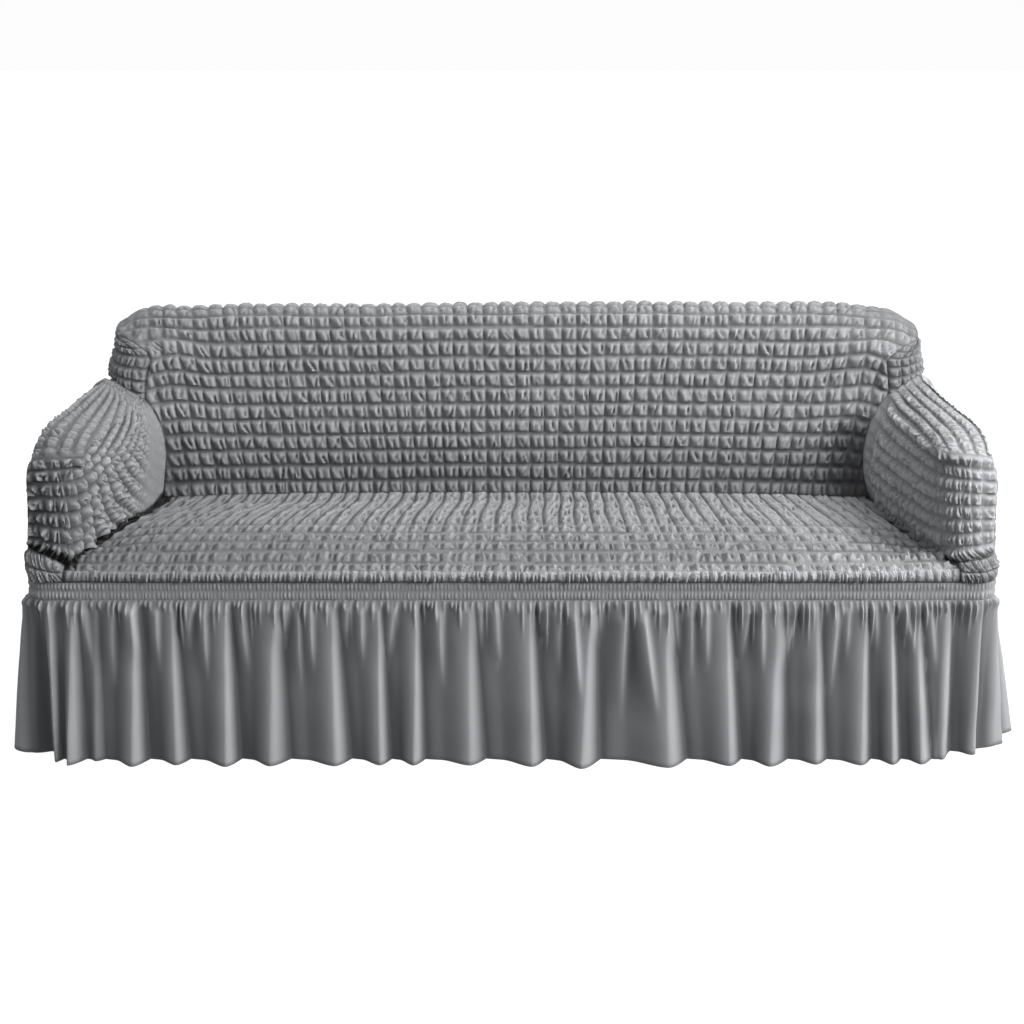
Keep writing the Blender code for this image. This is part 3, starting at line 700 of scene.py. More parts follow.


# Each end's cloth gets its own painted shade; the right end is painted darker.
for side, word, seed, shade in ((-1, "left", 31, (0.42, 1.05)), (1, "right", 37, (0.27, 0.84))):
    end_paint = cloth_paint(f"back_end_{word}_cloth", shade=shade)
    u, v, columns, rows = panel(END_COLUMNS, END_ROWS)
    parts = (arm_rear_side(side)[::-1], seam("arm_rear_top", side)[::-1], seam("end_front", side))
    front = chain(parts, END_FRONT_STOPS, v)
    foot = round_band(side * (AT_ARM_REAR + u * (AT_REAR_CORNER - AT_ARM_REAR)), BAND_TOP)
    base = ruled(u, v, front, upright(side, v), foot, smooth(seam("end_top", side), u))
    # Above the arm the strip is plump, and just behind the arm its bubbles are flatter.
    above_arm = np.clip((v - 0.66) / 0.34, 0, 1) ** 0.75
    plump = np.sin(np.pi * u**0.65)[:, None, None] * np.sin(np.pi * above_arm)[None, :, None]
    base = facing_out(base + plump * toward(side, END_BULGE), side)
    heights, lights = bubbles(side * columns, rows, seed)
    behind_arm = np.exp(-(((rows - 12.5) / 3.5) ** 2)) * fade(columns, 5.0, 11.0)
    heights = heights * (1 - 0.45 * ease(rows, 18.0, 21.0)) * fade(rows, 23.0, 25.0)
    heights = heights * (1 - 0.85 * behind_arm)
    if side > 0:
        # Behind the arm painted light brings it up to the painted light of the arm's outer side.
        lights = lights + (0.30 * lights + 0.15) * fade(rows, 12.0, 17.0)
    heights, lights = facing_out(heights, side), facing_out(lights, side)
    part = puckered(base, columns, rows, heights, lights)
    back_end = make_piece("back_end_" + word, [part], end_paint)


# ---- Seat ------------------------------------------------------------------------------------------
# Puckered knit over the seat's deck and its rolled front. Its bubbles are long from front to back, and
# towards the rear they run together into ribs. Two small parts close the roll under the arms' fronts.

# Places round the band: below the inner edge of an arm's front, and the front corner.
AT_DROP = 0.965
AT_FRONT_CORNER = HALF_WIDTH - CORNER + QUARTER / 2
SEAT_FRONT_CORNER = (0.966, 0.962, -0.402, 0.433, 0.440)
ARM_FRONT_FOOT = (1.046, 1.044, -0.386, 0.468, 0.455)
sewn["arm_crease"] = [
    SEAT_REAR_CORNER,
    (0.884, 0.905, 0.060, 0.412, 0.412),
    (0.925, 0.925, -0.030, 0.410, 0.410),
    (0.956, 0.948, -0.140, 0.411, 0.411),
    (0.969, 0.962, -0.280, 0.414, 0.416),
    SEAT_FRONT_CORNER,
]
sewn["arm_front_foot"] = [
    SEAT_FRONT_CORNER,
    (0.993, 0.991, -0.410, 0.452, 0.446),
    (1.022, 1.020, -0.404, 0.462, 0.450),
    ARM_FRONT_FOOT,
]
# The deck's section at the middle, and the roll's below it. Columns: y, z.
DECK_SECTION = [
    (-0.402, 0.432),
    (-0.350, 0.441),
    (-0.260, 0.445),
    (-0.120, 0.444),
    (0.020, 0.441),
    (0.152, 0.438),
]
ROLL_SECTION = [(-HALF_DEPTH, BAND_TOP), (-0.436, 0.418), (-0.402, 0.432)]
ROLL_SHARE = 2 / 11
CREASE_DEPTH = 0.014
ROLL_BULGE, ROLL_FRONT_BULGE = 0.010, 0.014
ROLL_END_BULGE = (0.008, -0.004, 0.0)
SEAT_COLUMNS = 50
SEAT_END_REACH = 0.10
SEAT_RISE, SEAT_SINK = 0.0065, 0.0040
SEAT_FLANK = (0.24, 0.16)
ROLL_COLUMNS, ROLL_ROWS = 5, 2
# Where the elastic rows lie, measured over the roll and back along the deck.
SEAT_LINES = (-0.010, 0.034, 0.074, 0.138, 0.202, 0.268, 0.334, 0.400, 0.466, 0.532, 0.610)


def front_roll(side):
    """The edge between the seat's deck and the roll under an arm's front, from the band up."""
    top = np.array(seam("arm_crease", side)[-1])
    foot = round_band(side * AT_DROP, BAND_TOP)
    return [tuple(foot), tuple((top + foot) / 2 - (0, ROLL_FRONT_BULGE, 0)), tuple(top)]


def roll_end(side):
    """The end of that roll, at the sofa's front corner, from the band up."""
    top = np.array(seam("arm_front_foot", side)[-1])
    foot = round_band(side * AT_FRONT_CORNER, BAND_TOP)
    return [tuple(foot), tuple((top + foot) / 2 + toward(side, ROLL_END_BULGE)), tuple(top)]


even = np.linspace(0, 1, 400)
section = chain([ROLL_SECTION, DECK_SECTION], (ROLL_SHARE, 1.0), even)
length = np.concatenate([[0], np.cumsum(np.linalg.norm(np.diff(section, axis=0), axis=1))])
line_numbers = np.arange(len(SEAT_LINES)) - 1
first, last = np.interp([0, length[-1]], SEAT_LINES, line_numbers)
columns, rows = lattice(0, SEAT_COLUMNS, BUBBLE_STEPS), lattice(first, last, ROW_STEPS)
u = columns / SEAT_COLUMNS
v = np.interp(np.interp(rows, line_numbers, SEAT_LINES), length, even)
v[0], v[-1] = 0, 1
left, right = (
    chain([front_roll(side), seam("arm_crease", side)[::-1]], (ROLL_SHARE, 1.0), v) for side in (-1, 1)
)
base = between(u, left, right, chain([ROLL_SECTION, DECK_SECTION], (ROLL_SHARE, 1.0), v))
foot = round_band(AT_DROP * (2 * u - 1), BAND_TOP)
base = fit(base, u, v, left, right, foot, smooth(SEAT_SEAM, u), SEAT_END_REACH)
columns, rows = np.meshgrid(columns, rows, indexing="ij")
on_roll, at_rear = fade(rows, -0.2, 0.4), ease(rows, 4.2, 6.0)
head = (0.54 + 0.28 * on_roll + 0.2 * at_rear, 0.70 + 0.25 * on_roll + 0.2 * at_rear)
# The roll is gathered twice as finely as the deck.
gathered = np.where(rows < 0, 2 * columns, columns)
rowed = 1 - 0.85 * at_rear
heights, lights = bubbles(gathered, rows, 41, SEAT_FLANK, head, dent=1.1, ground=0.58, rowed=rowed)
in_from_arms = np.minimum(columns, SEAT_COLUMNS - columns)
# Painted light and shade: the roll is painted lit, the deck is painted lighter towards the right and
# the rear, and by the arms it is painted dark, where the crease lies in shade.
lights = (lights + 0.80 * on_roll * (1 - lights)) * (0.1 + 0.9 * ease(in_from_arms, 0.0, 0.5))
lights = lights * (0.58 + 0.29 * ease(columns, 0, 22) + 0.18 * ease(columns, 27, 40))
lights = lights * (1 + 0.60 * ease(columns, 38, 48) * (1 - on_roll))
lights = lights * (1 - 0.22 * hump(rows, -0.2, 0.4, 2.0, 4.5))
# The painted shade of each crease reaches out as far as the arm's face hangs over it.
hidden = 0.35 + 0.45 * ease(rows, 1.5, 5.0) - 0.20 * ease(rows, 6.0, 8.0)
lights = lights - 0.90 * fade(in_from_arms, hidden, hidden + 0.40) * (1 - on_roll)
# The deck rises a little on its way down into the crease at each arm.
beside_crease = hump(in_from_arms, 0.0, 0.6, 0.0, 5.0)
base[:, :, 2] += CREASE_DEPTH * beside_crease * (ease(rows, 0.6, 1.6) - ease(rows, 8.2, 8.9))
heights = heights * (1 + 0.15 * on_roll)
at_back = ease(rows, last - 0.8, last - 0.3)
seat_parts = [puckered(base, columns, rows, heights, lights, SEAT_RISE, SEAT_SINK, through=at_back)]
for side, seed in ((-1, 43), (1, 47)):
    u, v, columns, rows = panel(ROLL_COLUMNS, ROLL_ROWS)
    foot = round_band(side * (AT_DROP + u * (AT_FRONT_CORNER - AT_DROP)), BAND_TOP)
    top = smooth(seam("arm_front_foot", side), u)
    base = ruled(u, v, smooth(front_roll(side), v), smooth(roll_end(side), v), foot, top)
    base = facing_out(swell(base, u, v, (0, -ROLL_BULGE, 0), 0.5), side)
    puckers = bubbles(columns + 0.8 * rows, rows, seed, head=(0.7, 0.95), dent=0.9)
    seat_parts.append(puckered(base, columns, rows, *puckers, SEAT_RISE, 2 * SEAT_SINK))
seat_paint = cloth_paint("seat_cloth", wrinkles=(120.0, 0.7, 0.012), shade=(0.20, 1.30))
seat = make_piece("seat", seat_parts, seat_paint)


# ---- Arm faces -------------------------------------------------------------------------------------
# The puckered panels on the arms' inner faces, which run round the front corner onto the fronts. They
# are drawn tight and nearly smooth where an arm meets the back.

ARM_FRONT_INNER = (0.914, 0.911, -0.362, 0.678, 0.682)
ARM_FRONT_OUTER = (1.029, 1.026, -0.368, 0.663, 0.664)
sewn["arm_ridge"] = [
    ARM_TOP_REAR,
    (0.905, 0.917, 0.050, 0.674, 0.676),
    (0.910, 0.918, -0.100, 0.676, 0.677),
    (0.912, 0.915, -0.250, 0.680, 0.681),
    ARM_FRONT_INNER,
]
sewn["arm_front_top"] = [
    ARM_FRONT_INNER,
    (0.950, 0.948, -0.386, 0.678, 0.679),
    (0.992, 0.988, -0.386, 0.674, 0.674),
    ARM_FRONT_OUTER,
]
sewn["arm_outer_edge"] = [
    ARM_FRONT_FOOT,
    (1.042, 1.040, -0.390, 0.520, 0.510),
    (1.039, 1.038, -0.390, 0.580, 0.570),
    (1.038, 1.038, -0.384, 0.632, 0.624),
    ARM_FRONT_OUTER,
]
FACE_BULGE = (-0.016, -0.016, 0.004)
FACE_OVERHANG = (-0.018, -0.014, 0.0)
# How far along the panel the front corner is, and its bubbles' flank and head.
FACE_SHARE = 9 / 12
FACE_CELLS = (0.62, 0.40), (0.60, 0.80)
FACE_GROUND = 0.18
CORNER_SOFTNESS = 0.120
RIDGE_SOFTNESS = {-1: 0.024, 1: 0.004}
LEFT_SEED = 53
LEFT_ROWS, SHOULDER_ROWS = 7, 3.6


def rounded(grid, across, up):
    """The same surface with its bend round the arm's front corner rounded off, but not at its edges."""
    weights = np.exp(-(((across[:, None] - across) / CORNER_SOFTNESS) ** 2)) * np.gradient(across)
    soft = np.einsum("ij,jkl->ikl", weights / weights.sum(axis=1, keepdims=True), grid)
    inside = hump(across, 0.0, 0.2, 0.85, 1.0)[:, None, None] * hump(up, 0.0, 0.15, 0.85, 1.0)[None, :, None]
    return grid + inside * (soft - grid)


def fan(places):
    """How close together the left arm's rows of elastic run, which all start at its shoulder's rear."""
    return np.clip(places / FACE_SHARE, 0.03, 1) ** 0.38


def rounding(side, places):
    """How far the seam between face and top lies inside the sewn line, where the arm is rounded over it."""
    turn = ease(places, FACE_SHARE - 0.10, FACE_SHARE + 0.08)
    inward = np.stack([side * (1 - turn), turn, -np.ones(len(places))], axis=1)
    inward /= np.linalg.norm(inward, axis=1, keepdims=True)
    return RIDGE_SOFTNESS[side] * np.sin(np.pi * np.clip(places, 0, 1))[:, None] ** 0.5 * inward


# Columns: side, name, seed, bubbles along and up, how deep they are creased, painted shade of the
# cloth, which is painted much lighter on the right arm.
for side, word, seed, counts, dent, shade in (
    (-1, "left", LEFT_SEED, (16, LEFT_ROWS), 1.1, (0.22, 1.08)),
    (1, "right", 59, (19, 8), 0.7, (1.04, 1.46)),
):
    face_paint = cloth_paint(f"arm_face_{word}_cloth", shade=shade)
    u, v, columns, rows = panel(*counts)
    low = chain([seam("arm_crease", side), seam("arm_front_foot", side)], (FACE_SHARE, 1.0), u)
    high = chain([seam("arm_ridge", side), seam("arm_front_top", side)], (FACE_SHARE, 1.0), u)
    rear = smooth(seam("arm_against_back", side), v)
    base = ruled(u, v, rear, smooth(seam("arm_outer_edge", side), v), low, high)
    base = rounded(swell(base, u, v, toward(side, FACE_BULGE)), u, v)
    over_crease = ease(v, 0.0, 0.09) * np.exp(-((v / 0.26) ** 2))
    overhang = (4 * u * (1 - u))[:, None, None] ** 0.5 * over_crease[:, None]
    base = base + overhang * toward(side, FACE_OVERHANG)
    near_ridge = (1 - np.clip((1 - v) / 0.35, 0, 1)) ** 2
    base = base + near_ridge[None, :, None] * rounding(side, u)[:, None, :]
    base = facing_out(base, side)
    u, v = np.meshgrid(u, v, indexing="ij")
    if side < 0:
        # The rows of elastic fan out from the shoulder's rear, where the cloth is drawn tight.
        from_shoulder = (counts[1] * (1 - v) + SHOULDER_ROWS) / fan(u)
        aslant = counts[1] + SHOULDER_ROWS - from_shoulder
        leaning = columns + (2.0 + 6.0 * fade(u, 0.0, 0.9)) * (1 - v)
        tight = ease(from_shoulder, 9.5, 13.5) * fade(u, 0.10, 0.32)
        ribbed = 0.75 * fade(u, 0.30, 0.60) * ease(v, 0.50, 0.90)
        soft = ease(v, 0.62, 0.92) * ease(u, 0.0, 0.12)
        through = ease(v, 0.90, 1.0) * fade(u, 0.66, 0.74)
    else:
        aslant, leaning, ribbed, through = rows, columns, 0.0, np.zeros_like(u)
        tight = 0.4 * fade(u, 0.0, 0.11)
        soft = ease(v, 0.88, 1.0) * ease(u, 0.05, 0.20)
    cells = {"flank": FACE_CELLS[0], "head": FACE_CELLS[1], "dent": dent, "ground": FACE_GROUND}
    heights, lights = bubbles(side * leaning, aslant, seed, ribbed=ribbed, **cells)
    heights = heights * (1 - 0.85 * tight) * ease(u, 0.0, 0.15)
    # Painted light and shade make the bubbles of the inner face stand out more than those of the front.
    # On the right arm the front's bubbles are lower too, and the front gets painted shade.
    inner_face = fade(u, 0.55, 0.75)
    if side < 0:
        lights = lights + 0.35 * (lights - 0.42) * inner_face
    else:
        heights = heights * (1 - 0.25 * ease(u, 0.60, 0.80))
        lights = lights + 0.8 * (lights - 0.30) * inner_face - 0.16 * ease(u, 0.62, 0.80)
    # Where the cloth is drawn tight its painted shading is evened out, and at the foot painted shade turns
    # the crease black.
    lights = lights + (0.75 - lights) * 0.8 * tight
    lights = lights * (0.1 + 0.9 * ease(rows, 0.1, 0.7)) - 0.9 * fade(rows, 0.15, 0.65)
    heights, lights, soft, through = (facing_out(grid, side) for grid in (heights, lights, soft, through))
    part = puckered(base, columns, rows, heights, lights, soft=soft, through=through)
    arm_face = make_piece("arm_face_" + word, [part], face_paint)


# ---- Arm tops --------------------------------------------------------------------------------------
# The puckered panels over the arms' tops and down their outer sides to the band. Their rows of elastic
# run along the arm, and the cloth is gathered where it meets the back.

TOP_COLUMNS, TOP_ROWS = 16, 14
# How far down the panel the arm's top ends, and how far its front reaches. Below that is the roll.
TOP_SHARE, FRONT_SHARE = 0.3, 0.8
LEFT_TOP_COLUMNS = 12
TOP_BULGE = (0.006, 0.0, 0.019)
TOP_SINK = 0.009
SHOULDER = (0.009, 0.0, 0.010)

# Columns: side, name, seed, flank and head of a bubble, how high it stands, how deep it is creased,
# painted shade, which is painted lighter on the right arm.
for side, word, seed, (flank, head), relief, dent, shade in (
    (-1, "left", LEFT_SEED, FACE_CELLS, 0.85, 0.6, (0.34, 1.12)),
    (1, "right", 67, (FLANK, HEAD), 0.70, 0.8, (0.60, 1.40)),
):
    top_paint = cloth_paint(f"arm_top_{word}_cloth", wrinkles=(120.0, 0.8, 0.007), shade=shade)
    u, v, columns, rows = panel(TOP_COLUMNS, TOP_ROWS)
    rear = chain([seam("arm_rear_top", side), arm_rear_side(side)], (TOP_SHARE, 1.0), v)
    parts = (seam("arm_front_top", side), seam("arm_outer_edge", side)[::-1], roll_end(side)[::-1])
    front = chain(parts, (TOP_SHARE, FRONT_SHARE, 1.0), v)
    foot = round_band(side * (AT_ARM_REAR + u * (AT_FRONT_CORNER - AT_ARM_REAR)), BAND_TOP)
    base = ruled(u, v, rear, front, smooth(seam("arm_ridge", side), u), foot)
    u, v = u[:, None, None], v[None, :, None]
    base = base + 4 * u * (1 - u) * (4 * v * (1 - v)) ** 0.5 * toward(side, TOP_BULGE)
    shoulder = np.exp(-(((u - 0.76) / 0.20) ** 2) - ((v - 0.30) / 0.13) ** 2) * fade(u, 0.88, 1.0)
    base = base + shoulder * toward(side, SHOULDER)
    # The cloth is rounded over the ridge and over the front edge, together with the arm's face.
    near_ridge = (1 - np.clip(v / 0.16, 0, 1)) ** 2
    near_front = (1 - np.clip((1 - u) / 0.14, 0, 1)) ** 2
    over_ridge = rounding(side, FACE_SHARE * u.ravel())[:, None, :]
    over_front = rounding(side, FACE_SHARE + (1 - FACE_SHARE) * v.ravel() / TOP_SHARE)[None, :, :]
    base = base + near_ridge * over_ridge + near_front * (over_front - near_ridge * over_ridge[-1])
    base = facing_out(base, side)
    u, v = u[:, :, 0], v[:, :, 0]
    if side < 0:
        # The rows and columns go on from those of the face.
        rows = LEFT_ROWS + SHOULDER_ROWS + (v / TOP_SHARE - 1) * SHOULDER_ROWS / fan(FACE_SHARE * u)
        columns = LEFT_TOP_COLUMNS * u
        ribbed = 0.75 * fade(FACE_SHARE * u, 0.30, 0.60)
        through = fade(v, 0.0, 0.05) * fade(FACE_SHARE * u, 0.66, 0.74)
        soft = np.maximum(fade(v, 0.0, 0.12), ease(u, 0.90, 1.0) * fade(v, 0.24, 0.30))
    else:
        ribbed, soft, through = 0.15 * fade(u, 0.4, 0.8), np.zeros_like(rows), np.zeros_like(rows)
    cells = {"flank": flank, "head": head, "dent": dent, "ground": FACE_GROUND}
    heights, lights = bubbles(side * columns, rows, seed, ribbed=ribbed, **cells)
    heights = heights * (relief - 0.4 * ease(v, 0.12, 0.36)) * ease(u, 0.0, 0.20)
    if side > 0:
        # Painted shade takes the outer side down from the top's painted light, so that it matches the strip
        # behind it.
        lights = lights - (0.28 * lights + 0.21) * ease(v, 0.30, 0.50)
    heights, lights, soft, through = (facing_out(grid, side) for grid in (heights, lights, soft, through))
    part = puckered(base, columns, rows, heights, lights, sink=TOP_SINK, soft=soft, through=through)
    arm_top = make_piece("arm_top_" + word, [part], top_paint)


# ---- Band ------------------------------------------------------------------------------------------
# The wide elastic band between the panels and the skirt, shirred by three rows of elastic thread, so
# that the cloth between them stands up in two rows of small upright puckers.

BAND_LOW = 0.362
BAND_PUCKERS, BAND_ROWS, BAND_LEVELS = 700, 2, 15
BAND_STEPS = (0.0, 0.2, 0.4, 0.6, 0.8)
BAND_SET_IN = 0.0015
BAND_RISE = 0.0040
BAND_THICKNESS = 0.0030

columns = lattice(0, BAND_PUCKERS, BAND_STEPS)[:-1]
columns, rows = np.meshgrid(columns, np.linspace(0, BAND_ROWS, BAND_LEVELS), indexing="ij")
along = (columns / BAND_PUCKERS - 0.5) * ROUND
row = np.floor(np.minimum(rows, BAND_ROWS - 0.001))
shift = 0.35 * unevenness(columns * 0.37, row * 5.3, 71) + 0.12 * unevenness(columns * 0.9, rows * 2, 72)
amount = 0.70 + 0.30 * unevenness(columns * 0.12, row * 5.3, 73)
amount = amount + 0.35 * unevenness(columns * 0.9, row * 7.1, 74)
heights = np.sin(np.pi * (columns + shift)) ** 2 * np.sin(np.pi * (rows - row)) ** 1.6 * amount
z = BAND_LOW + (BAND_TOP - BAND_LOW) * rows / BAND_ROWS
outer = round_band(along, z, BAND_RISE * heights - BAND_SET_IN)
inner = round_band(along, z, -BAND_SET_IN - BAND_THICKNESS)
cloth = np.stack([along, z], axis=2)
# The band is painted lighter than the panels, and each pucker is painted lighter the higher it stands.
band_paint = cloth_paint("band_cloth", wrinkles=(300.0, 0.6, 0.001), shade=(0.95, 1.40))
band = make_piece("band", [(outer, inner, (6, 7), heights, cloth)], band_paint, ring=ROUND)


# ---- Skirt -----------------------------------------------------------------------------------------
# Plain soft cloth, gathered into the band's lower edge and hanging to the floor. Its folds lean over
# to one side like breaking waves: a steep strip right of each crest, and a long slope up to the next.

# The front's folds, from left to right. Columns: the crest's place round the band at the hem and at
# the top, how wide the steep strip is at the hem, how deep the fold is there.
SKIRT_FOLDS = [
    (-1.160, -1.150, 0.026, 0.030),
    (-1.080, -1.072, 0.026, 0.032),
    (-1.012, -0.996, 0.026, 0.026),
    (-0.972, -0.948, 0.036, 0.036),
    (-0.915, -0.900, 0.020, 0.012),
    (-0.830, -0.815, 0.034, 0.042),
    (-0.735, -0.735, 0.028, 0.034),
    (-0.626, -0.618, 0.032, 0.044),
    (-0.530, -0.515, 0.044, 0.040),
    (-0.388, -0.390, 0.036, 0.040),
    (-0.290, -0.290, 0.026, 0.034),
    (-0.216, -0.207, 0.026, 0.034),
    (-0.094, -0.095, 0.038, 0.036),
    (0.042, 0.036, 0.034, 0.042),
    (0.150, 0.168, 0.046, 0.052),
    (0.340, 0.326, 0.046, 0.048),
    (0.474, 0.460, 0.032, 0.038),
    (0.562, 0.570, 0.046, 0.040),
    (0.664, 0.655, 0.030, 0.030),
    (0.762, 0.758, 0.030, 0.034),
    (0.832, 0.815, 0.026, 0.032),
    (0.895, 0.870, 0.030, 0.030),
    (0.952, 0.940, 0.024, 0.026),
    (1.020, 1.010, 0.024, 0.024),
    (1.090, 1.080, 0.024, 0.026),
    (1.165, 1.155, 0.028, 0.034),
]
# Smaller gathers that start at the band and die out lower down, some of them by running into a fold.
# Columns: place at the lower end and at the top, how far down they reach (0 to 1), strip, depth.
SKIRT_GATHERS = [
    (-0.915, -0.925, 0.45, 0.014, 0.008),
    (-0.870, -0.862, 0.60, 0.014, 0.010),
    (-0.800, -0.822, 0.42, 0.015, 0.010),
    (-0.770, -0.768, 0.50, 0.014, 0.009),
    (-0.708, -0.690, 0.33, 0.014, 0.009),
    (-0.665, -0.664, 0.55, 0.013, 0.009),
    (-0.575, -0.585, 0.50, 0.014, 0.009),
    (-0.500, -0.485, 0.30, 0.014, 0.009),
    (-0.462, -0.462, 0.62, 0.012, 0.008),
    (-0.435, -0.434, 0.50, 0.013, 0.009),
    (-0.365, -0.355, 0.33, 0.013, 0.008),
    (-0.328, -0.325, 0.45, 0.014, 0.009),
    (-0.275, -0.252, 0.42, 0.014, 0.010),
    (-0.155, -0.156, 0.60, 0.015, 0.010),
    (-0.070, -0.068, 0.35, 0.013, 0.008),
    (-0.030, -0.035, 0.45, 0.014, 0.009),
    (0.070, 0.070, 0.30, 0.013, 0.009),
    (0.100, 0.098, 0.52, 0.014, 0.009),
    (0.145, 0.133, 0.66, 0.015, 0.010),
    (0.185, 0.192, 0.30, 0.013, 0.008),
    (0.234, 0.244, 0.84, 0.016, 0.012),
    (0.315, 0.280, 0.78, 0.018, 0.013),
    (0.360, 0.350, 0.40, 0.014, 0.009),
    (0.388, 0.386, 0.55, 0.013, 0.009),
    (0.420, 0.418, 0.48, 0.014, 0.009),
    (0.492, 0.512, 0.42, 0.014, 0.010),
    (0.540, 0.538, 0.50, 0.013, 0.009),
    (0.585, 0.610, 0.46, 0.015, 0.010),
    (0.690, 0.700, 0.66, 0.016, 0.011),
    (0.720, 0.725, 0.40, 0.013, 0.008),
    (0.790, 0.782, 0.35, 0.013, 0.008),
    (0.870, 0.845, 0.36, 0.013, 0.008),
    (0.920, 0.900, 0.50, 0.014, 0.009),
]
SKIRT_FLARE, SKIRT_SIDE_FLARE = 0.024, 0.034
# The other folds: how far apart they are, and the limits of their lean, strip and depth.
SKIRT_PITCH = 0.110
SKIRT_LIMITS = ((-0.015, 0.015), (0.026, 0.044), (0.030, 0.042))
SKIRT_SEED = 7
# The front, where the folds are counted, reaches this far each way, with this many places round it.
SKIRT_FRONT, FRONT_PLACES, REAR_PLACES = 1.20, 1250, 700
SKIRT_LEVELS = 40
# Fine tucks at the band: how far apart, how deep and how wide on each side they are, and more than fit.
TUCK_SPACING, TUCK_DEPTH, TUCK_FLANKS = (0.008, 0.020), (0.005, 0.014), (0.0062, 0.0036)
MOST_TUCKS = 520
# Painted light and shade: a place is painted lighter the further it stands out from so many on each
# side of it, and darker the further it lies in.
NEIGHBOURS, SKIRT_LIGHT, LIGHT_PER_METRE = 30, 0.45, 60
# How much longer the cloth is than the band that it is gathered into.
FULLNESS = 1.5
# How high the turned-up edge is, and how much of its painted light it keeps, as painted shade on the hem's
# edge.
HEM, HEM_SHADE = 0.003, 0.3
SKIRT_THICKNESS = 0.0012
SKIRT_TOP_OUT = -0.0015
BAND_GAP = 0.0006
SKIRT_GREY = (0.240, 0.245, 0.253, 1.0)


def all_folds():
    """The front's folds, then folds of uneven pitch round the sides and the rear."""
    folds = list(SKIRT_FOLDS)
    uneven = np.random.default_rng(SKIRT_SEED)
    place, last = SKIRT_FOLDS[-1][0], ROUND + SKIRT_FOLDS[0][0]
    count = round((last - place) / SKIRT_PITCH)
    for number in range(1, count):
        at = place + (last - place) * (number + uneven.uniform(-0.25, 0.25)) / count
        lean, strip, depth = (uneven.uniform(*limits) for limits in SKIRT_LIMITS)
        folds.append((at, at + lean, strip, depth))
    return np.array(folds)


def breaking_waves(along, level, folds):
    """How far the folds stand out at one level (0 at the hem, 1 at the band), round the whole skirt."""
    crest = folds[:, 0] * (1 - level) + folds[:, 1] * level
    strip = folds[:, 2] * (1 - 0.62 * level)
    depth = folds[:, 3]
    crest, strip, depth = (np.append(column, column[0]) for column in (crest, strip, depth))
    crest[-1] += ROUND
    knots = np.stack([crest, crest + strip], axis=1).ravel()[:-1]
    place = (along - crest[0]) % ROUND + crest[0]
    part = np.searchsorted(knots, place, side="right") - 1
    part = np.clip(part, 0, len(knots) - 2)
    t = (place - knots[part]) / (knots[part + 1] - knots[part])
    falling, number = part % 2 == 0, part // 2
    down = depth[number] * np.cos(0.5 * np.pi * t) ** 1.1
    rise = depth[np.minimum(number + 1, len(depth) - 1)] * (0.40 * t + 0.60 * ease(t, 0.35, 1.0))
    return np.where(falling, down, rise)


def gather(along, level, low, top, reach, strip, depth):
    """One small leaning gather: where it stands out at one level, and how far."""
    down = (1 - level) / reach
    centre = top + (low - top) * min(down, 1)
    away = (along - centre) / strip
    shape = np.where(away < 0, np.exp(-((away / 1.3) ** 2)), np.exp(-((away / 0.55) ** 2)))
    return 1.35 * depth * shape * hump(down, 0.0, 0.16, 0.40, 1.0)


folds = all_folds()
front = np.linspace(-SKIRT_FRONT, SKIRT_FRONT, FRONT_PLACES, endpoint=False)
behind = np.linspace(SKIRT_FRONT, ROUND - SKIRT_FRONT, REAR_PLACES, endpoint=False)
along = np.concatenate([behind[REAR_PLACES // 2 :] - ROUND, front, behind[: REAR_PLACES // 2]])
levels = np.sort(np.append(1 - np.linspace(1, 0, SKIRT_LEVELS) ** 1.25, HEM / BAND_LOW))
uneven = np.random.default_rng(SKIRT_SEED + 1)
tuck_places = np.cumsum(uneven.uniform(*TUCK_SPACING, MOST_TUCKS)) - ROUND / 2
tuck_places = tuck_places[tuck_places < ROUND / 2]
nearest = np.abs(along[:, None] - tuck_places).argmin(axis=1)
from_tuck = along - tuck_places[nearest]
tuck_depth = uneven.uniform(*TUCK_DEPTH, len(tuck_places))[nearest]
tuck_shape = np.clip(1 - np.abs(from_tuck) / np.where(from_tuck < 0, *TUCK_FLANKS), 0, 1)
tuck_reach = 0.05 + 0.30 * uneven.uniform(0, 1, len(tuck_places))[nearest] ** 2.2
at_side = hump(np.abs(along), 1.00, 1.10, 1.9, 2.0)
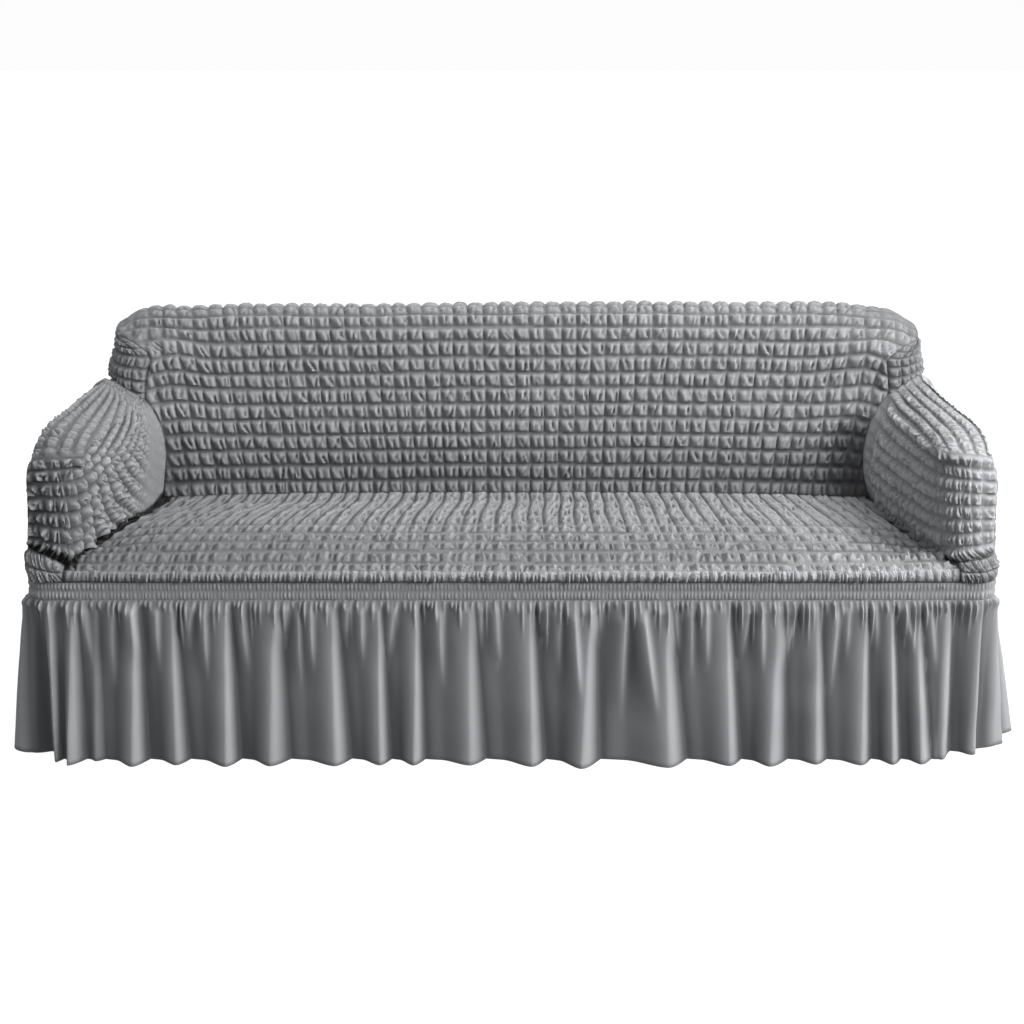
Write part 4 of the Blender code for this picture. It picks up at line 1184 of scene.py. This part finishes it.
flare = SKIRT_FLARE + (SKIRT_SIDE_FLARE - SKIRT_FLARE) * at_side
# The hem keeps closer in at the two front corners, and flares more along the right side.
set_back = 0.050 * hump(-along, 1.000, 1.014, 1.024, 1.060)
set_back += 0.042 * hump(along, 0.930, 0.970, 1.055, 1.105)
set_back -= 0.030 * hump(along, 1.090, 1.180, 1.500, 1.700)
weights = np.hanning(2 * NEIGHBOURS + 1)
weights = weights / weights.sum()
grid, lights = [], []
for level in levels:
    drop = 1 - level
    swing = breaking_waves(along, level, folds) * (0.30 * ease(drop, 0, 0.06) + 0.70 * drop**0.8)
    small = sum(gather(along, level, *row) for row in SKIRT_GATHERS)
    tucks = tuck_depth * tuck_shape * hump(drop, 0.0, 0.02, 0.02, tuck_reach)
    waver = 0.0015 * unevenness(along / 0.09, np.full_like(along, 6 * level), 83) * ease(drop, 0.1, 0.5)
    out = SKIRT_TOP_OUT + (flare - set_back) * drop**0.8 + swing + small + tucks + waver
    grid.append(round_band(along, (BAND_LOW - BAND_GAP) * level, out))
    wide = np.pad(out, NEIGHBOURS, mode="wrap")
    around = np.convolve(wide, weights, mode="valid")
    # Painted light and shade from how far the place stands out from its neighbours.
    lights.append(SKIRT_LIGHT + LIGHT_PER_METRE * (out - around))
outer = np.stack(grid, axis=1)
ahead, behind_it = np.roll(outer, -1, axis=0), np.roll(outer, 1, axis=0)
normals = np.cross(ahead - behind_it, np.gradient(outer, axis=1))
normals /= np.linalg.norm(normals, axis=2, keepdims=True)
inner = outer - SKIRT_THICKNESS * normals
inner[:, 0, 2], inner[:, -1, 2] = outer[:, 0, 2], outer[:, -1, 2]
lights = np.clip(np.stack(lights, axis=1), 0, 1)
# Painted shade on the hem's edge and the level just above it.
lights[:, :2] *= HEM_SHADE
cloth = np.stack(np.broadcast_arrays(along[:, None] * FULLNESS, levels[None, :] * BAND_LOW), axis=2)
skirt_paint = cloth_paint("skirt_cloth", SKIRT_GREY, (30.0, 0.3, 0.001), (0.44, 1.42), 0.5)
skirt = make_piece("skirt", [(outer, inner, (1, 6), lights, cloth)], skirt_paint, ring=FULLNESS * ROUND)
